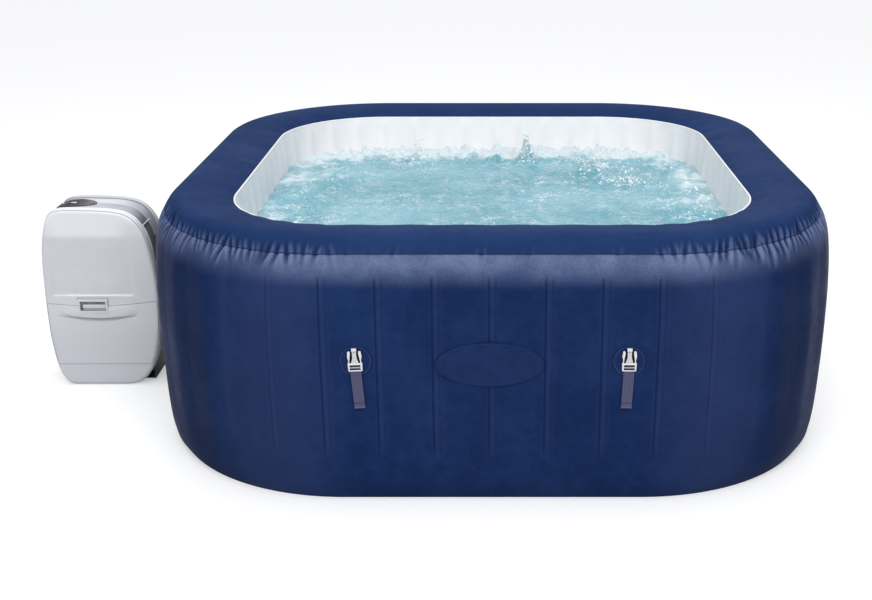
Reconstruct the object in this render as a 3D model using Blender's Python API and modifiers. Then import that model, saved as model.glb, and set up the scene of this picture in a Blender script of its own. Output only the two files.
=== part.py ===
"""Inflatable square hot tub with its pump standing at the left side.

Metres, +Z up. The origin is the middle of the tub's footprint on the floor, the front is -Y and
the pump stands on the -X side. A wall's "reach" is its distance from the centre line, measured at
the middle of a side: every band of the tub is one upright section carried round a rounded square.
"""

import math

import bmesh
import bpy
from mathutils import Matrix, Vector
from mathutils.geometry import interpolate_bezier

# Tub: overall size and the rounded square that every band follows
TUB_HALF = 0.900
CORNER_RADIUS = 0.5376
CORNER_CENTRE = TUB_HALF - CORNER_RADIUS
CORNER_STEPS = 6
GAP = 0.0003
SKIN = 0.0012
RIM_SEAM_TRIM = 0.0022

# Tub: places on the section, as (reach, height)
BASE_CONTACT = (0.8630, 0.0)
BULGE = (TUB_HALF, 0.3190)
OUTER_SEAM = (0.8596, 0.6223)
CREST = (0.8133, 0.6602)
INNER_SEAM = (0.6792, 0.6329)
INNER_BULGE = (0.6640, 0.3000)
INNER_FOOT = (0.6800, 0.0035)
FLOOR_HALF = 0.6900

# Tub: the inside pieces
WEB_INSIDE = 0.6900
WEB_OUTSIDE = 0.8700
WEB_LOW = 0.2450
WEB_HIGH = 0.5200
WEB_SKIN = 0.0006
WEB_FOLDS_PER_QUARTER = 12
TUBE_RADIUS = 0.0110
TUBE_REACH = 0.6420

# Cover straps, two on each side of the tub
STRAP_OFFSET = 0.3170
BUCKLE_AXIS_HEIGHT = 0.3540
BUCKLE_BACK = 0.9010
BUCKLE_THICKNESS = 0.0070
WEBBING_WIDTH = 0.0250
WEBBING_SKIN = 0.0013
WEBBING_LOW = 0.2580
WEBBING_HIGH = 0.3495
WEBBING_HEM = 0.0120

# Badge patch on the front wall
BADGE_SIZE = (0.2560, 0.1090)
BADGE_CENTRE = (-0.0060, 0.3650)
BADGE_SKIN = 0.0012

# Pump: casing
PUMP_NEAR = -0.1800
PUMP_FAR = -0.0040
PUMP_MIDDLE = 0.5 * (PUMP_NEAR + PUMP_FAR)
SIDE_DEPTH = 0.0300
CASING_WALL = 0.0030
EDGE_ROUND = 0.0120
CORE_INSET = 0.0078
COVER_INSET = 0.0040
PUMP_OUTLINE = (
    (-1.2360, 0.5370),
    (-1.1600, 0.5385),
    (-1.0800, 0.5340),
    (-1.0320, 0.5180),
    (-1.0000, 0.4800),
    (-0.9820, 0.4200),
    (-0.9700, 0.3200),
    (-0.9705, 0.2150),
    (-0.9820, 0.1200),
    (-1.0080, 0.0500),
    (-1.0430, 0.0110),
    (-1.0900, 0.0000),
    (-1.1660, 0.0000),
    (-1.2400, 0.0000),
    (-1.2690, 0.0160),
    (-1.2880, 0.0620),
    (-1.2990, 0.1500),
    (-1.3010, 0.2700),
    (-1.2960, 0.4000),
    (-1.2850, 0.4700),
    (-1.2670, 0.5200),
)
OUTLINE_STEPS = 2

# Pump: service door in the near side cover, and its latch
DOOR_LOW = 0.0680
DOOR_SIDE_MARGIN = 0.0170
DOOR_TOP_MIDDLE = 0.2590
DOOR_TOP_RISE = 0.0070
DOOR_MIDDLE = -1.1610
DOOR_GAP = 0.0008
LATCH_FRAME_HALF = 0.0430
LATCH_FRAME_LOW = 0.2290
LATCH_FRAME_HIGH = 0.2770
LATCH_FRAME_RISE = 0.0025
LATCH_WINDOW_HALF = 0.0370
LATCH_WINDOW_LOW = 0.2385
LATCH_WINDOW_HIGH = 0.2690
LATCH_SPLIT = 0.2545

# Pump: control panel on the top cover
PANEL_LEFT = -1.2660
PANEL_RIGHT = -1.1460
PANEL_HALF_WIDTH = 0.0360
PANEL_SKIN = 0.0022
DISPLAY_CENTRE = (-1.2180, PUMP_MIDDLE)
DISPLAY_SIZE = (0.0260, 0.0130)
BUTTON_RADIUS = 0.0042
BUTTON_CLEARANCE = 0.0006
BUTTON_TOP = 0.5368
BUTTON_HEIGHT = 0.0048
BUTTON_PLACES = {
    "power": (-1.2440, PUMP_MIDDLE),
    "heat": (-1.2260, PUMP_MIDDLE + 0.0190),
    "bubbles": (-1.2060, PUMP_MIDDLE + 0.0200),
    "filter": (-1.1860, PUMP_MIDDLE + 0.0110),
    "warmer": (-1.2260, PUMP_MIDDLE - 0.0190),
    "cooler": (-1.2060, PUMP_MIDDLE - 0.0200),
}

# Pipes between the pump and the tub
WATER_BORE = 0.0170
AIR_BORE = 0.0110
PIPE_WALL = 0.0030
INLET_Y = -0.1400
OUTLET_Y = -0.0440
WATER_HEIGHT = 0.1250
AIR_Y = -0.0920
AIR_HEIGHT = 0.2050
NUT_INNER_END = -0.9165


def clear_scene():
    """Remove every object, so that the script starts from an empty scene."""
    for old in list(bpy.data.objects):
        bpy.data.objects.remove(old, do_unlink=True)


def new_collection(name):
    """Return a new collection linked to the scene."""
    collection = bpy.data.collections.new(name)
    bpy.context.scene.collection.children.link(collection)
    return collection


clear_scene()
PARTS = new_collection("inflatable_hot_tub")
CUTTERS = new_collection("cutters")


# ---------------------------------------------------------------- helpers


def make_material(name, color, roughness, metallic=0.0):
    """Principled material of one colour."""
    material = bpy.data.materials.new(name)
    material.use_nodes = True
    shader = material.node_tree.nodes["Principled BSDF"]
    shader.inputs["Base Color"].default_value = (*color, 1.0)
    shader.inputs["Roughness"].default_value = roughness
    shader.inputs["Metallic"].default_value = metallic
    return material


def finish(piece, color, roughness, metallic=0.0):
    """Give a sub-part its own material and put it with the parts."""
    material = make_material(piece.name + "_finish", color, roughness, metallic)
    piece.data.materials.clear()
    piece.data.materials.append(material)
    for collection in list(piece.users_collection):
        collection.objects.unlink(piece)
    PARTS.objects.link(piece)
    return piece


def as_cutter(piece):
    """Hide a piece that only cuts or joins others."""
    for collection in list(piece.users_collection):
        collection.objects.unlink(piece)
    CUTTERS.objects.link(piece)
    piece.hide_render = True
    piece.display_type = "WIRE"
    return piece


def object_from_bmesh(name, shape):
    """Write a bmesh into a new object, with its faces turned outwards."""
    bmesh.ops.recalc_face_normals(shape, faces=shape.faces)
    mesh = bpy.data.meshes.new(name)
    shape.to_mesh(mesh)
    shape.free()
    piece = bpy.data.objects.new(name, mesh)
    PARTS.objects.link(piece)
    return piece


def boolean(piece, other, operation="DIFFERENCE"):
    """Cut, join or intersect a piece with a cutter."""
    modifier = piece.modifiers.new(operation.lower(), "BOOLEAN")
    modifier.operation = operation
    modifier.solver = "EXACT"
    modifier.object = other


def block(name, low, high, round_edges=0.0):
    """Box between two corners, with its edges rounded where asked."""
    shape = bmesh.new()
    bmesh.ops.create_cube(shape, size=1.0)
    size = [top - bottom for bottom, top in zip(low, high)]
    centre = [0.5 * (bottom + top) for bottom, top in zip(low, high)]
    bmesh.ops.scale(shape, verts=shape.verts, vec=size)
    bmesh.ops.translate(shape, verts=shape.verts, vec=centre)
    if round_edges:
        bmesh.ops.bevel(shape, geom=shape.edges, offset=round_edges, segments=2, profile=0.5,
                        affect="EDGES")
    return object_from_bmesh(name, shape)


def rod(name, radius, start, end, segments=18):
    """Cylinder from one point to another, whose flats clear a round piece of this radius."""
    radius = radius / math.cos(math.pi / segments)
    start = Vector(start)
    run = Vector(end) - start
    shape = bmesh.new()
    turn = run.to_track_quat("Z", "Y").to_matrix().to_4x4()
    place = Matrix.Translation(start + 0.5 * run) @ turn
    bmesh.ops.create_cone(shape, cap_ends=True, segments=segments, radius1=radius, radius2=radius,
                          depth=run.length, matrix=place)
    return object_from_bmesh(name, shape)


def slab(name, outline, low, high, axis="Y"):
    """Flat outline given a thickness along Y (outline in X and Z), Z (in X and Y) or X (in Y, Z)."""
    curve = bpy.data.curves.new(name, "CURVE")
    curve.dimensions = "2D"
    curve.fill_mode = "BOTH"
    curve.extrude = 0.5 * (high - low)
    for points in outline if isinstance(outline[0][0], tuple) else [outline]:
        spline = curve.splines.new("POLY")
        spline.points.add(len(points) - 1)
        for point, (first, second) in zip(spline.points, points):
            point.co = (first, second, 0.0, 1.0)
        spline.use_cyclic_u = True
    drawn = bpy.data.objects.new(name + "_outline", curve)
    PARTS.objects.link(drawn)
    middle = 0.5 * (low + high)
    if axis == "Y":
        drawn.matrix_world = Matrix.Translation((0.0, middle, 0.0)) @ Matrix.Rotation(math.pi / 2, 4, "X")
    elif axis == "X":
        upright = Matrix.Rotation(math.pi / 2, 4, "Z") @ Matrix.Rotation(math.pi / 2, 4, "X")
        drawn.matrix_world = Matrix.Translation((middle, 0.0, 0.0)) @ upright
    else:
        drawn.matrix_world = Matrix.Translation((0.0, 0.0, middle))
    bpy.context.view_layer.update()
    depsgraph = bpy.context.evaluated_depsgraph_get()
    mesh = bpy.data.meshes.new_from_object(drawn.evaluated_get(depsgraph))
    shape = bmesh.new()
    shape.from_mesh(mesh)
    bmesh.ops.transform(shape, matrix=drawn.matrix_world, verts=shape.verts)
    bmesh.ops.remove_doubles(shape, verts=shape.verts, dist=0.00001)
    bmesh.ops.dissolve_limit(shape, angle_limit=0.0005, verts=shape.verts, edges=shape.edges)
    bpy.data.objects.remove(drawn, do_unlink=True)
    bpy.data.meshes.remove(mesh)
    return object_from_bmesh(name, shape)


def turned(name, profile, place, direction, steps=18, closed=False):
    """Turned piece: (radius, height) pairs down the outer side, spun round a line.

    The line starts at `place` and the heights run along `direction`. A closed profile is a ring.
    """
    edges = [(index, index + 1) for index in range(len(profile) - 1)]
    if closed:
        edges.append((len(profile) - 1, 0))
    mesh = bpy.data.meshes.new(name)
    mesh.from_pydata([(radius, 0.0, height) for radius, height in profile], edges, [])
    piece = bpy.data.objects.new(name, mesh)
    PARTS.objects.link(piece)
    screw = piece.modifiers.new("turn", "SCREW")
    screw.steps = steps
    screw.render_steps = steps
    screw.use_merge_vertices = True
    screw.merge_threshold = 0.00001
    piece.location = place
    piece.rotation_euler = Vector(direction).to_track_quat("Z", "Y").to_euler()
    return piece


def sweep(name, section):
    """Carry a closed (reach, height) section round the rounded square."""
    shape = bmesh.new()
    corners = [shape.verts.new((reach, 0.0, height)) for reach, height in section]
    count = len(corners)
    line = [shape.edges.new((corners[i], corners[(i + 1) % count])) for i in range(count)]
    line = push(shape, line, (0.0, CORNER_CENTRE, 0.0))
    for quarter in range(4):
        turn = Matrix.Rotation(quarter * math.pi / 2, 4, "Z")
        centre = turn @ Vector((CORNER_CENTRE, CORNER_CENTRE, 0.0))
        spun = bmesh.ops.spin(shape, geom=line, cent=centre, axis=(0.0, 0.0, 1.0),
                              angle=math.pi / 2, steps=CORNER_STEPS)
        line = [item for item in spun["geom_last"] if isinstance(item, bmesh.types.BMEdge)]
        run = CORNER_CENTRE if quarter == 3 else 2 * CORNER_CENTRE
        line = push(shape, line, turn @ Vector((-run, 0.0, 0.0)))
    bmesh.ops.remove_doubles(shape, verts=shape.verts, dist=0.00001)
    return object_from_bmesh(name, shape)


def push(shape, line, move):
    """Extrude a line of edges along a straight run and return the new line."""
    grown = bmesh.ops.extrude_edge_only(shape, edges=line)["geom"]
    points = [item for item in grown if isinstance(item, bmesh.types.BMVert)]
    bmesh.ops.translate(shape, verts=points, vec=move)
    return [item for item in grown if isinstance(item, bmesh.types.BMEdge)
            and all(vert in points for vert in item.verts)]


def bend(start, start_handle, end_handle, end, steps):
    """Points along a Bezier from start to end, as (reach, height) pairs."""
    knots = [Vector((*point, 0.0)) for point in (start, start_handle, end_handle, end)]
    return [(point.x, point.y) for point in interpolate_bezier(*knots, steps + 1)]


def side_step(line, distance, closed=False):
    """Move each point of a line to its left by a distance, square to the line there."""
    count = len(line)
    moved = []
    for index, point in enumerate(line):
        before = line[index - 1] if closed or index else point
        after = line[(index + 1) % count] if closed or index < count - 1 else point
        run = Vector((after[0] - before[0], after[1] - before[1])).normalized()
        moved.append((point[0] - run.y * distance, point[1] + run.x * distance))
    return moved


def skin_section(line, thickness):
    """Closed section of a skin whose face is the line and which is thick to the line's left."""
    return line + side_step(line, thickness)[::-1]


def round_square(half):
    """Outline of the rounded square at a reach."""
    radius = half - CORNER_CENTRE
    points = []
    for quarter in range(4):
        middle_angle = quarter * math.pi / 2 + math.pi / 4
        centre = Vector((math.copysign(CORNER_CENTRE, math.cos(middle_angle)),
                         math.copysign(CORNER_CENTRE, math.sin(middle_angle))))
        for step in range(CORNER_STEPS + 1):
            angle = quarter * math.pi / 2 + step * math.pi / 2 / CORNER_STEPS
            points.append((centre.x + radius * math.cos(angle), centre.y + radius * math.sin(angle)))
    return points


def smooth_outline(knots, steps):
    """Closed smooth line through the knots (Catmull-Rom)."""
    count = len(knots)
    points = []
    for index in range(count):
        before, start, end, after = (Vector(knots[(index + shift) % count]) for shift in (-1, 0, 1, 2))
        for step in range(steps):
            t = step / steps
            spot = 0.5 * ((2 * start) + (end - before) * t
                          + (2 * before - 5 * start + 4 * end - after) * t ** 2
                          + (3 * start - before - 3 * end + after) * t ** 3)
            points.append((spot.x, max(spot.y, 0.0)))
    return points


# ---------------------------------------------------------------- tub skins


def outer_line():
    """Outer wall from the floor up to the top seam."""
    base, bulge, seam = BASE_CONTACT, BULGE, OUTER_SEAM
    lower = bend(base, (base[0] + (bulge[0] - base[0]) * 0.7, 0.0), (bulge[0], bulge[1] * 0.45),
                 bulge, 4)
    upper = bend(bulge, (bulge[0], bulge[1] + (seam[1] - bulge[1]) * 0.5),
                 (bulge[0] - (bulge[0] - seam[0]) * 0.15, seam[1] - 0.03), seam, 4)
    return lower + upper[1:]


def top_line():
    """Top panel from the outer seam over the crest to the inner seam."""
    seam, crest, inner = OUTER_SEAM, CREST, INNER_SEAM
    rise = bend(seam, (seam[0] - (seam[0] - crest[0]) * 0.4, seam[1] + (crest[1] - seam[1]) * 0.9),
                (crest[0] + (seam[0] - crest[0]) * 0.3, crest[1]), crest, 3)
    fall = bend(crest, (crest[0] - (crest[0] - inner[0]) * 0.5, crest[1]),
                (inner[0] + 0.01, inner[1] + (crest[1] - inner[1]) * 0.6), inner, 4)
    return rise + fall[1:]


def inner_line():
    """Inner wall from its seam down to the floor."""
    seam, bulge, foot = INNER_SEAM, INNER_BULGE, INNER_FOOT
    upper = bend(seam, (seam[0] - 0.008, seam[1] - 0.1), (bulge[0], bulge[1] + 0.12), bulge, 3)
    lower = bend(bulge, (bulge[0], bulge[1] - 0.14), (foot[0] - 0.006, foot[1] + 0.03), foot, 3)
    return upper + lower[1:]


def reach_at(line, height):
    """Reach of a wall line at a height."""
    for (reach_a, height_a), (reach_b, height_b) in zip(line, line[1:]):
        low, high = sorted((height_a, height_b))
        if low <= height <= high:
            share = (height - height_a) / (height_b - height_a)
            return reach_a + share * (reach_b - reach_a)
    return line[-1][0]


def build_skins():
    """Outer wall, top panel and inner wall, with holes for the pipes and valves."""
    outer = sweep("outer_wall", skin_section(outer_line(), SKIN))
    trimmed_top = top_line()
    trimmed_top[0] = (trimmed_top[0][0] - GAP, trimmed_top[0][1] + 2 * GAP)
    top = sweep("top_panel", skin_section(trimmed_top, SKIN))
    trimmed_inner = inner_line()
    trimmed_inner[0] = (trimmed_inner[0][0], trimmed_inner[0][1] - RIM_SEAM_TRIM)
    inner = sweep("inner_wall", skin_section(trimmed_inner, SKIN))
    finish(outer, (0.014, 0.032, 0.115), 0.42)
    finish(top, (0.025, 0.052, 0.165), 0.40)
    finish(inner, (0.80, 0.80, 0.84), 0.38)
    return outer, inner


def build_floor():
    """Base panel on the ground and the floor panel above it."""
    base = slab("base_panel", round_square(BASE_CONTACT[0] - SKIN), 0.0, SKIN, "Z")
    finish(base, (0.010, 0.020, 0.070), 0.55)
    floor = slab("floor_panel", round_square(FLOOR_HALF), SKIN + GAP, 2 * SKIN + GAP, "Z")
    finish(floor, (0.78, 0.79, 0.82), 0.45)


def build_tension_web():
    """Folded band inside the air chamber, from inner wall to outer wall and back, all round."""
    shape = bmesh.new()
    quarter_turn = math.pi / 2
    feet = []
    for quarter in range(4):
        turn = Matrix.Rotation(quarter * quarter_turn, 4, "Z")
        for fold in range(WEB_FOLDS_PER_QUARTER):
            reach = WEB_OUTSIDE if fold % 2 else WEB_INSIDE
            feet.append(turn @ fold_place(fold / WEB_FOLDS_PER_QUARTER, reach))
    low = [shape.verts.new((spot.x, spot.y, WEB_LOW)) for spot in feet]
    count = len(low)
    line = [shape.edges.new((low[i], low[(i + 1) % count])) for i in range(count)]
    push(shape, line, (0.0, 0.0, WEB_HIGH - WEB_LOW))
    web = object_from_bmesh("tension_web", shape)
    thick = web.modifiers.new("thickness", "SOLIDIFY")
    thick.thickness = WEB_SKIN
    thick.offset = 0.0
    finish(web, (0.55, 0.58, 0.66), 0.60)


def fold_place(share, reach):
    """Place on one quarter of the rounded square: share 0 is the middle of +X, 1 that of +Y."""
    radius = reach - CORNER_CENTRE
    arc = radius * math.pi / 2
    travel = share * (2 * CORNER_CENTRE + arc)
    if travel < CORNER_CENTRE:
        return Vector((reach, travel, 0.0))
    if travel < CORNER_CENTRE + arc:
        angle = (travel - CORNER_CENTRE) / radius
        return Vector((CORNER_CENTRE + radius * math.cos(angle),
                       CORNER_CENTRE + radius * math.sin(angle), 0.0))
    return Vector((2 * CORNER_CENTRE + arc - travel, reach, 0.0))


def build_bubble_tube():
    """Soft air channel that lies on the floor at the foot of the inner wall."""
    height = 2 * SKIN + 2 * GAP + TUBE_RADIUS
    ring = []
    for step in range(8):
        angle = 2 * math.pi * step / 8
        ring.append((TUBE_REACH + TUBE_RADIUS * math.cos(angle), height + TUBE_RADIUS * math.sin(angle)))
    finish(sweep("bubble_tube", ring), (0.70, 0.72, 0.78), 0.45)


# ---------------------------------------------------------------- pipes and valves through the wall


def wall_pipe(name, bore, y, height, flange, neck_end):
    """Pipe through the air chamber on the pump's side, with a flange on each wall.

    Its neck reaches out to `neck_end`, where the coupling nut takes it.
    """
    lower_edge, upper_edge = height - flange, height + flange
    outside = max(reach_at(outer_line(), lower_edge), reach_at(outer_line(), upper_edge)) + GAP
    inside = min(reach_at(inner_line(), lower_edge), reach_at(inner_line(), height),
                 reach_at(inner_line(), upper_edge)) - GAP
    body = bore + PIPE_WALL
    thick = 0.0030
    profile = [
        (body - 0.001, -neck_end), (body, -neck_end - 0.001), (body, outside + thick),
        (flange, outside + thick), (flange, outside), (body, outside), (body, inside),
        (flange, inside), (flange, inside - thick), (bore, inside - thick), (bore, -neck_end),
    ]
    pipe = turned(name, profile, (0.0, y, height), (-1.0, 0.0, 0.0), closed=True)
    finish(pipe, (0.09, 0.095, 0.105), 0.45)
    return rod(name + "_hole", body + GAP, (-0.95, y, height), (-0.60, y, height))


def coupling_nut(name, bore, y, height):
    """Ribbed nut that joins a wall pipe to the pump."""
    outer = bore + 0.0065
    nut = turned(name, [(outer - 0.002, 0.0), (outer, -0.004), (outer, -0.058), (outer - 0.002, -0.060),
                        (bore, -0.060), (bore, 0.0)], (NUT_INNER_END, y, height), (1.0, 0.0, 0.0),
                 steps=18, closed=True)
    finish(nut, (0.11, 0.115, 0.125), 0.5)


def build_wall_pipes(outer, inner):
    """Two water pipes and one air pipe, the holes for them and their coupling nuts."""
    for name, bore, y, height, flange in (
        ("inlet", WATER_BORE, INLET_Y, WATER_HEIGHT, 0.034),
        ("outlet", WATER_BORE, OUTLET_Y, WATER_HEIGHT, 0.034),
        ("air", AIR_BORE, AIR_Y, AIR_HEIGHT, 0.026),
    ):
        hole = as_cutter(wall_pipe(name + "_pipe", bore, y, height, flange, NUT_INNER_END + GAP))
        boolean(outer, hole)
        boolean(inner, hole)
        coupling_nut(name + "_coupling_nut", bore, y, height)


def build_filter():
    """Filter set on the inlet, inside the tub: base, cartridge and screw cap, and the outlet grille."""
    seat = -(reach_at(inner_line(), WATER_HEIGHT) - 0.0082)
    base = turned("filter_base", [
        (0.046, 0.010), (0.046, 0.0), (0.014, 0.0), (0.014, 0.0065), (0.041, 0.0065), (0.041, 0.010),
    ], (seat, INLET_Y, WATER_HEIGHT), (1.0, 0.0, 0.0), closed=True)
    finish(base, (0.72, 0.73, 0.76), 0.4)
    cartridge = turned("filter_cartridge", pleated_profile(), (seat, INLET_Y, WATER_HEIGHT),
                       (1.0, 0.0, 0.0), steps=20, closed=True)
    finish(cartridge, (0.80, 0.83, 0.88), 0.8)
    cap = turned("filter_cap", [
        (0.0, 0.0905), (0.012, 0.0905), (0.014, 0.084), (0.040, 0.084), (0.046, 0.080), (0.046, 0.068),
        (0.0415, 0.068), (0.0415, 0.0795), (0.0, 0.0795),
    ], (seat, INLET_Y, WATER_HEIGHT), (1.0, 0.0, 0.0))
    finish(cap, (0.72, 0.73, 0.76), 0.4)
    grille = turned("outlet_grille", [
        (0.0, 0.008), (0.024, 0.006), (0.031, 0.0), (0.012, 0.0), (0.010, 0.0045), (0.0, 0.0045),
    ], (seat, OUTLET_Y, WATER_HEIGHT), (1.0, 0.0, 0.0))
    finish(grille, (0.72, 0.73, 0.76), 0.4)


def pleated_profile():
    """Side view of the filter cartridge: a hollow core with end rings and a waisted pleat pack."""
    return [
        (0.038, 0.079), (0.038, 0.074), (0.036, 0.072), (0.036, 0.014), (0.038, 0.012), (0.038, 0.0072),
        (0.015, 0.0072), (0.015, 0.079),
    ]


def build_drain(outer, inner):
    """Drain pipe through the wall at the back, with its screw cap outside."""
    along, height, bore, flange = 0.200, 0.075, 0.012, 0.024
    outside = reach_at(outer_line(), height + flange) + GAP
    inside = reach_at(inner_line(), height + flange) - GAP
    body = bore + 0.0025
    profile = [
        (body, outside + 0.012), (body, outside + 0.003), (flange, outside + 0.003), (flange, outside),
        (body, outside), (body, inside), (flange, inside), (flange, inside - 0.003),
        (bore, inside - 0.003), (bore, outside + 0.012),
    ]
    drain = turned("drain_pipe", profile, (along, 0.0, height), (0.0, 1.0, 0.0), closed=True)
    finish(drain, (0.75, 0.76, 0.79), 0.4)
    hole = as_cutter(rod("drain_hole", body + GAP, (along, 0.60, height), (along, 0.95, height)))
    boolean(outer, hole)
    boolean(inner, hole)
    cap = turned("drain_cap", [
        (0.0, 0.0155), (0.017, 0.0155), (0.020, 0.013), (0.020, 0.0034), (body + GAP, 0.0034),
        (body + GAP, 0.0124), (0.0, 0.0124),
    ], (along, outside, height), (0.0, 1.0, 0.0))
    finish(cap, (0.75, 0.76, 0.79), 0.4)


def build_air_valve(outer):
    """Inflation valve in the outer wall on the pump's side, with its screw cap."""
    along, height = 0.190, 0.430
    outside = reach_at(outer_line(), height - 0.026) + GAP
    valve = turned("air_valve", [
        (0.026, outside + 0.002), (0.026, outside), (0.0195, outside), (0.0195, outside - 0.034),
        (0.016, outside - 0.034), (0.016, outside + 0.002),
    ], (0.0, along, height), (-1.0, 0.0, 0.0), closed=True)
    finish(valve, (0.16, 0.17, 0.19), 0.5)
    hole = as_cutter(rod("valve_hole", 0.0195 + GAP, (-0.95, along, height), (-0.85, along, height)))
    boolean(outer, hole)
    cap = turned("air_valve_cap", [
        (0.0, 0.0075), (0.020, 0.0075), (0.023, 0.0055), (0.023, 0.0023), (0.0157, 0.0023),
        (0.0157, -0.010), (0.013, -0.010), (0.013, 0.0045), (0.0, 0.0045),
    ], (-outside, along, height), (-1.0, 0.0, 0.0))
    finish(cap, (0.13, 0.14, 0.16), 0.5)


# ---------------------------------------------------------------- cover straps and badge


def buckle_outline():
    """Male side-release buckle, seen from the front, as (x, height over its pivot)."""
    right = [
        (0.0, 0.0520), (0.0028, 0.0500), (0.0034, 0.0280), (0.0078, 0.0270), (0.0094, 0.0485),
        (0.0122, 0.0540), (0.0160, 0.0445), (0.0138, 0.0415), (0.0132, 0.0275), (0.0165, 0.0235),
        (0.0165, -0.0010), (0.0150, -0.0025),
    ]
    left = [(-x, height) for x, height in right[:0:-1]]
    lower_slot = [(-0.0125, 0.0022), (0.0125, 0.0022), (0.0125, 0.0068), (-0.0125, 0.0068)]
    upper_slot = [(-0.0125, 0.0120), (0.0125, 0.0120), (0.0125, 0.0168), (-0.0125, 0.0168)]
    return [right + left, lower_slot, upper_slot]


def build_straps():
    """Two buckles with their webbing tails on each side; a buckle's origin is its pivot."""
    sides = ("front", "right", "back", "left")
    half_thick = 0.5 * BUCKLE_THICKNESS
    for quarter, side in enumerate(sides):
        turn = Matrix.Rotation(quarter * math.pi / 2, 4, "Z")
        for place, along in (("a", -STRAP_OFFSET), ("b", STRAP_OFFSET)):
            buckle = slab(f"buckle_{side}_{place}", buckle_outline(), -half_thick, half_thick)
            pivot = Vector((along, -(BUCKLE_BACK + half_thick), BUCKLE_AXIS_HEIGHT))
            buckle.matrix_world = turn @ Matrix.Translation(pivot)
            finish(buckle, (0.72, 0.72, 0.76), 0.35)
            face = -(BUCKLE_BACK + 2 * WEBBING_SKIN)
            hem_face = face - WEBBING_SKIN
            back = face + WEBBING_SKIN
            strip = [(back, WEBBING_LOW), (back, WEBBING_HIGH), (face, WEBBING_HIGH),
                     (face, WEBBING_LOW + WEBBING_HEM), (hem_face, WEBBING_LOW + WEBBING_HEM),
                     (hem_face, WEBBING_LOW)]
            webbing = slab(f"webbing_{side}_{place}", strip, along - 0.5 * WEBBING_WIDTH,
                           along + 0.5 * WEBBING_WIDTH, "X")
            webbing.matrix_world = turn
            finish(webbing, (0.20, 0.21, 0.30), 0.85)


def build_badge():
    """Blank oval patch on the front wall, with a raised edge."""
    oval = [(BADGE_CENTRE[0] + 0.5 * BADGE_SIZE[0] * math.cos(angle),
             BADGE_CENTRE[1] + 0.5 * BADGE_SIZE[1] * math.sin(angle))
            for angle in (2 * math.pi * step / 32 for step in range(32))]
    back = -(TUB_HALF + 2 * GAP)
    badge = slab("badge_patch", oval, back - BADGE_SKIN, back)
    finish(badge, (0.020, 0.040, 0.130), 0.35)


# ---------------------------------------------------------------- pump casing


def pump_outline(inset=0.0):
    """Side view of the pump, moved inwards by an inset."""
    return side_step(smooth_outline(PUMP_OUTLINE, OUTLINE_STEPS), -inset, closed=True)


def side_cover(name, face, inner_edge):
    """Dished side cover: a face with rounded edges and a rim that turns in towards the middle."""
    inward = math.copysign(1.0, inner_edge - face)
    cover = slab(name, pump_outline(), min(face, inner_edge), max(face, inner_edge))
    round_rim(cover, face, EDGE_ROUND)
    hollow = slab(name + "_hollow", pump_outline(CASING_WALL),
                  min(face + inward * CASING_WALL, inner_edge + inward * 0.01),
                  max(face + inward * CASING_WALL, inner_edge + inward * 0.01))
    round_rim(hollow, face + inward * CASING_WALL, EDGE_ROUND - CASING_WALL)
    boolean(cover, as_cutter(hollow))
    return cover


def round_rim(piece, face, radius):
    """Round the edge that runs round a slab's face."""
    shape = bmesh.new()
    shape.from_mesh(piece.data)
    cap = [flat for flat in shape.faces if all(abs(vert.co.y - face) < 0.00001 for vert in flat.verts)]
    bmesh.ops.dissolve_faces(shape, faces=cap)
    rim = [edge for edge in shape.edges if all(abs(vert.co.y - face) < 0.00001 for vert in edge.verts)]
    bmesh.ops.bevel(shape, geom=rim, offset=radius, segments=2, profile=0.5, affect="EDGES")
    bmesh.ops.recalc_face_normals(shape, faces=shape.faces)
    shape.to_mesh(piece.data)
    shape.free()


def door_outline(grow):
    """Service door seen from the front, grown by a clearance all round.

    Its sides follow the pump's outline and its top edge dips to the latch frame.
    """
    margin = DOOR_SIDE_MARGIN - grow
    edge = pump_outline(margin)
    low = DOOR_LOW - grow
    right = [(x, z) for x, z in edge if x > DOOR_MIDDLE and low + 0.004 < z < 0.255]
    left = [(x, z) for x, z in edge if x < DOOR_MIDDLE and low + 0.004 < z < 0.255]
    right.sort(key=lambda point: point[1])
    left.sort(key=lambda point: -point[1])
    bottom_right = (right[0][0] - 0.006, low)
    bottom_left = (left[-1][0] + 0.006, low)
    top_right = [(x, door_top(x) + grow) for x in (right[-1][0], right[-1][0] - 0.05)]
    top_left = [(x, door_top(x) + grow) for x in (left[0][0] + 0.05, left[0][0])]
    half = LATCH_FRAME_HALF + grow
    tongue = [(DOOR_MIDDLE + half, door_top(DOOR_MIDDLE + half) + grow),
              (DOOR_MIDDLE + half, LATCH_FRAME_HIGH + grow - 0.001),
              (DOOR_MIDDLE + half - 0.001, LATCH_FRAME_HIGH + grow),
              (DOOR_MIDDLE - half + 0.001, LATCH_FRAME_HIGH + grow),
              (DOOR_MIDDLE - half, LATCH_FRAME_HIGH + grow - 0.001),
              (DOOR_MIDDLE - half, door_top(DOOR_MIDDLE - half) + grow)]
    return [bottom_left, bottom_right] + right + top_right + tongue + top_left + left


def door_top(x):
    """Height of the door's top edge, lowest at the latch."""
    return DOOR_TOP_MIDDLE + DOOR_TOP_RISE * ((x - DOOR_MIDDLE) / 0.13) ** 2


def build_side_covers():
    """Near and far side covers; the near one has the opening for the service door."""
    near = side_cover("near_side_cover", PUMP_NEAR, PUMP_NEAR + SIDE_DEPTH)
    opening = slab("door_opening", door_outline(DOOR_GAP), PUMP_NEAR - 0.01, PUMP_NEAR + 0.008)
    boolean(near, as_cutter(opening))
    finish(near, (0.58, 0.59, 0.63), 0.35)
    far = side_cover("far_side_cover", PUMP_FAR, PUMP_FAR - SIDE_DEPTH)
    finish(far, (0.58, 0.59, 0.63), 0.35)


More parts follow.
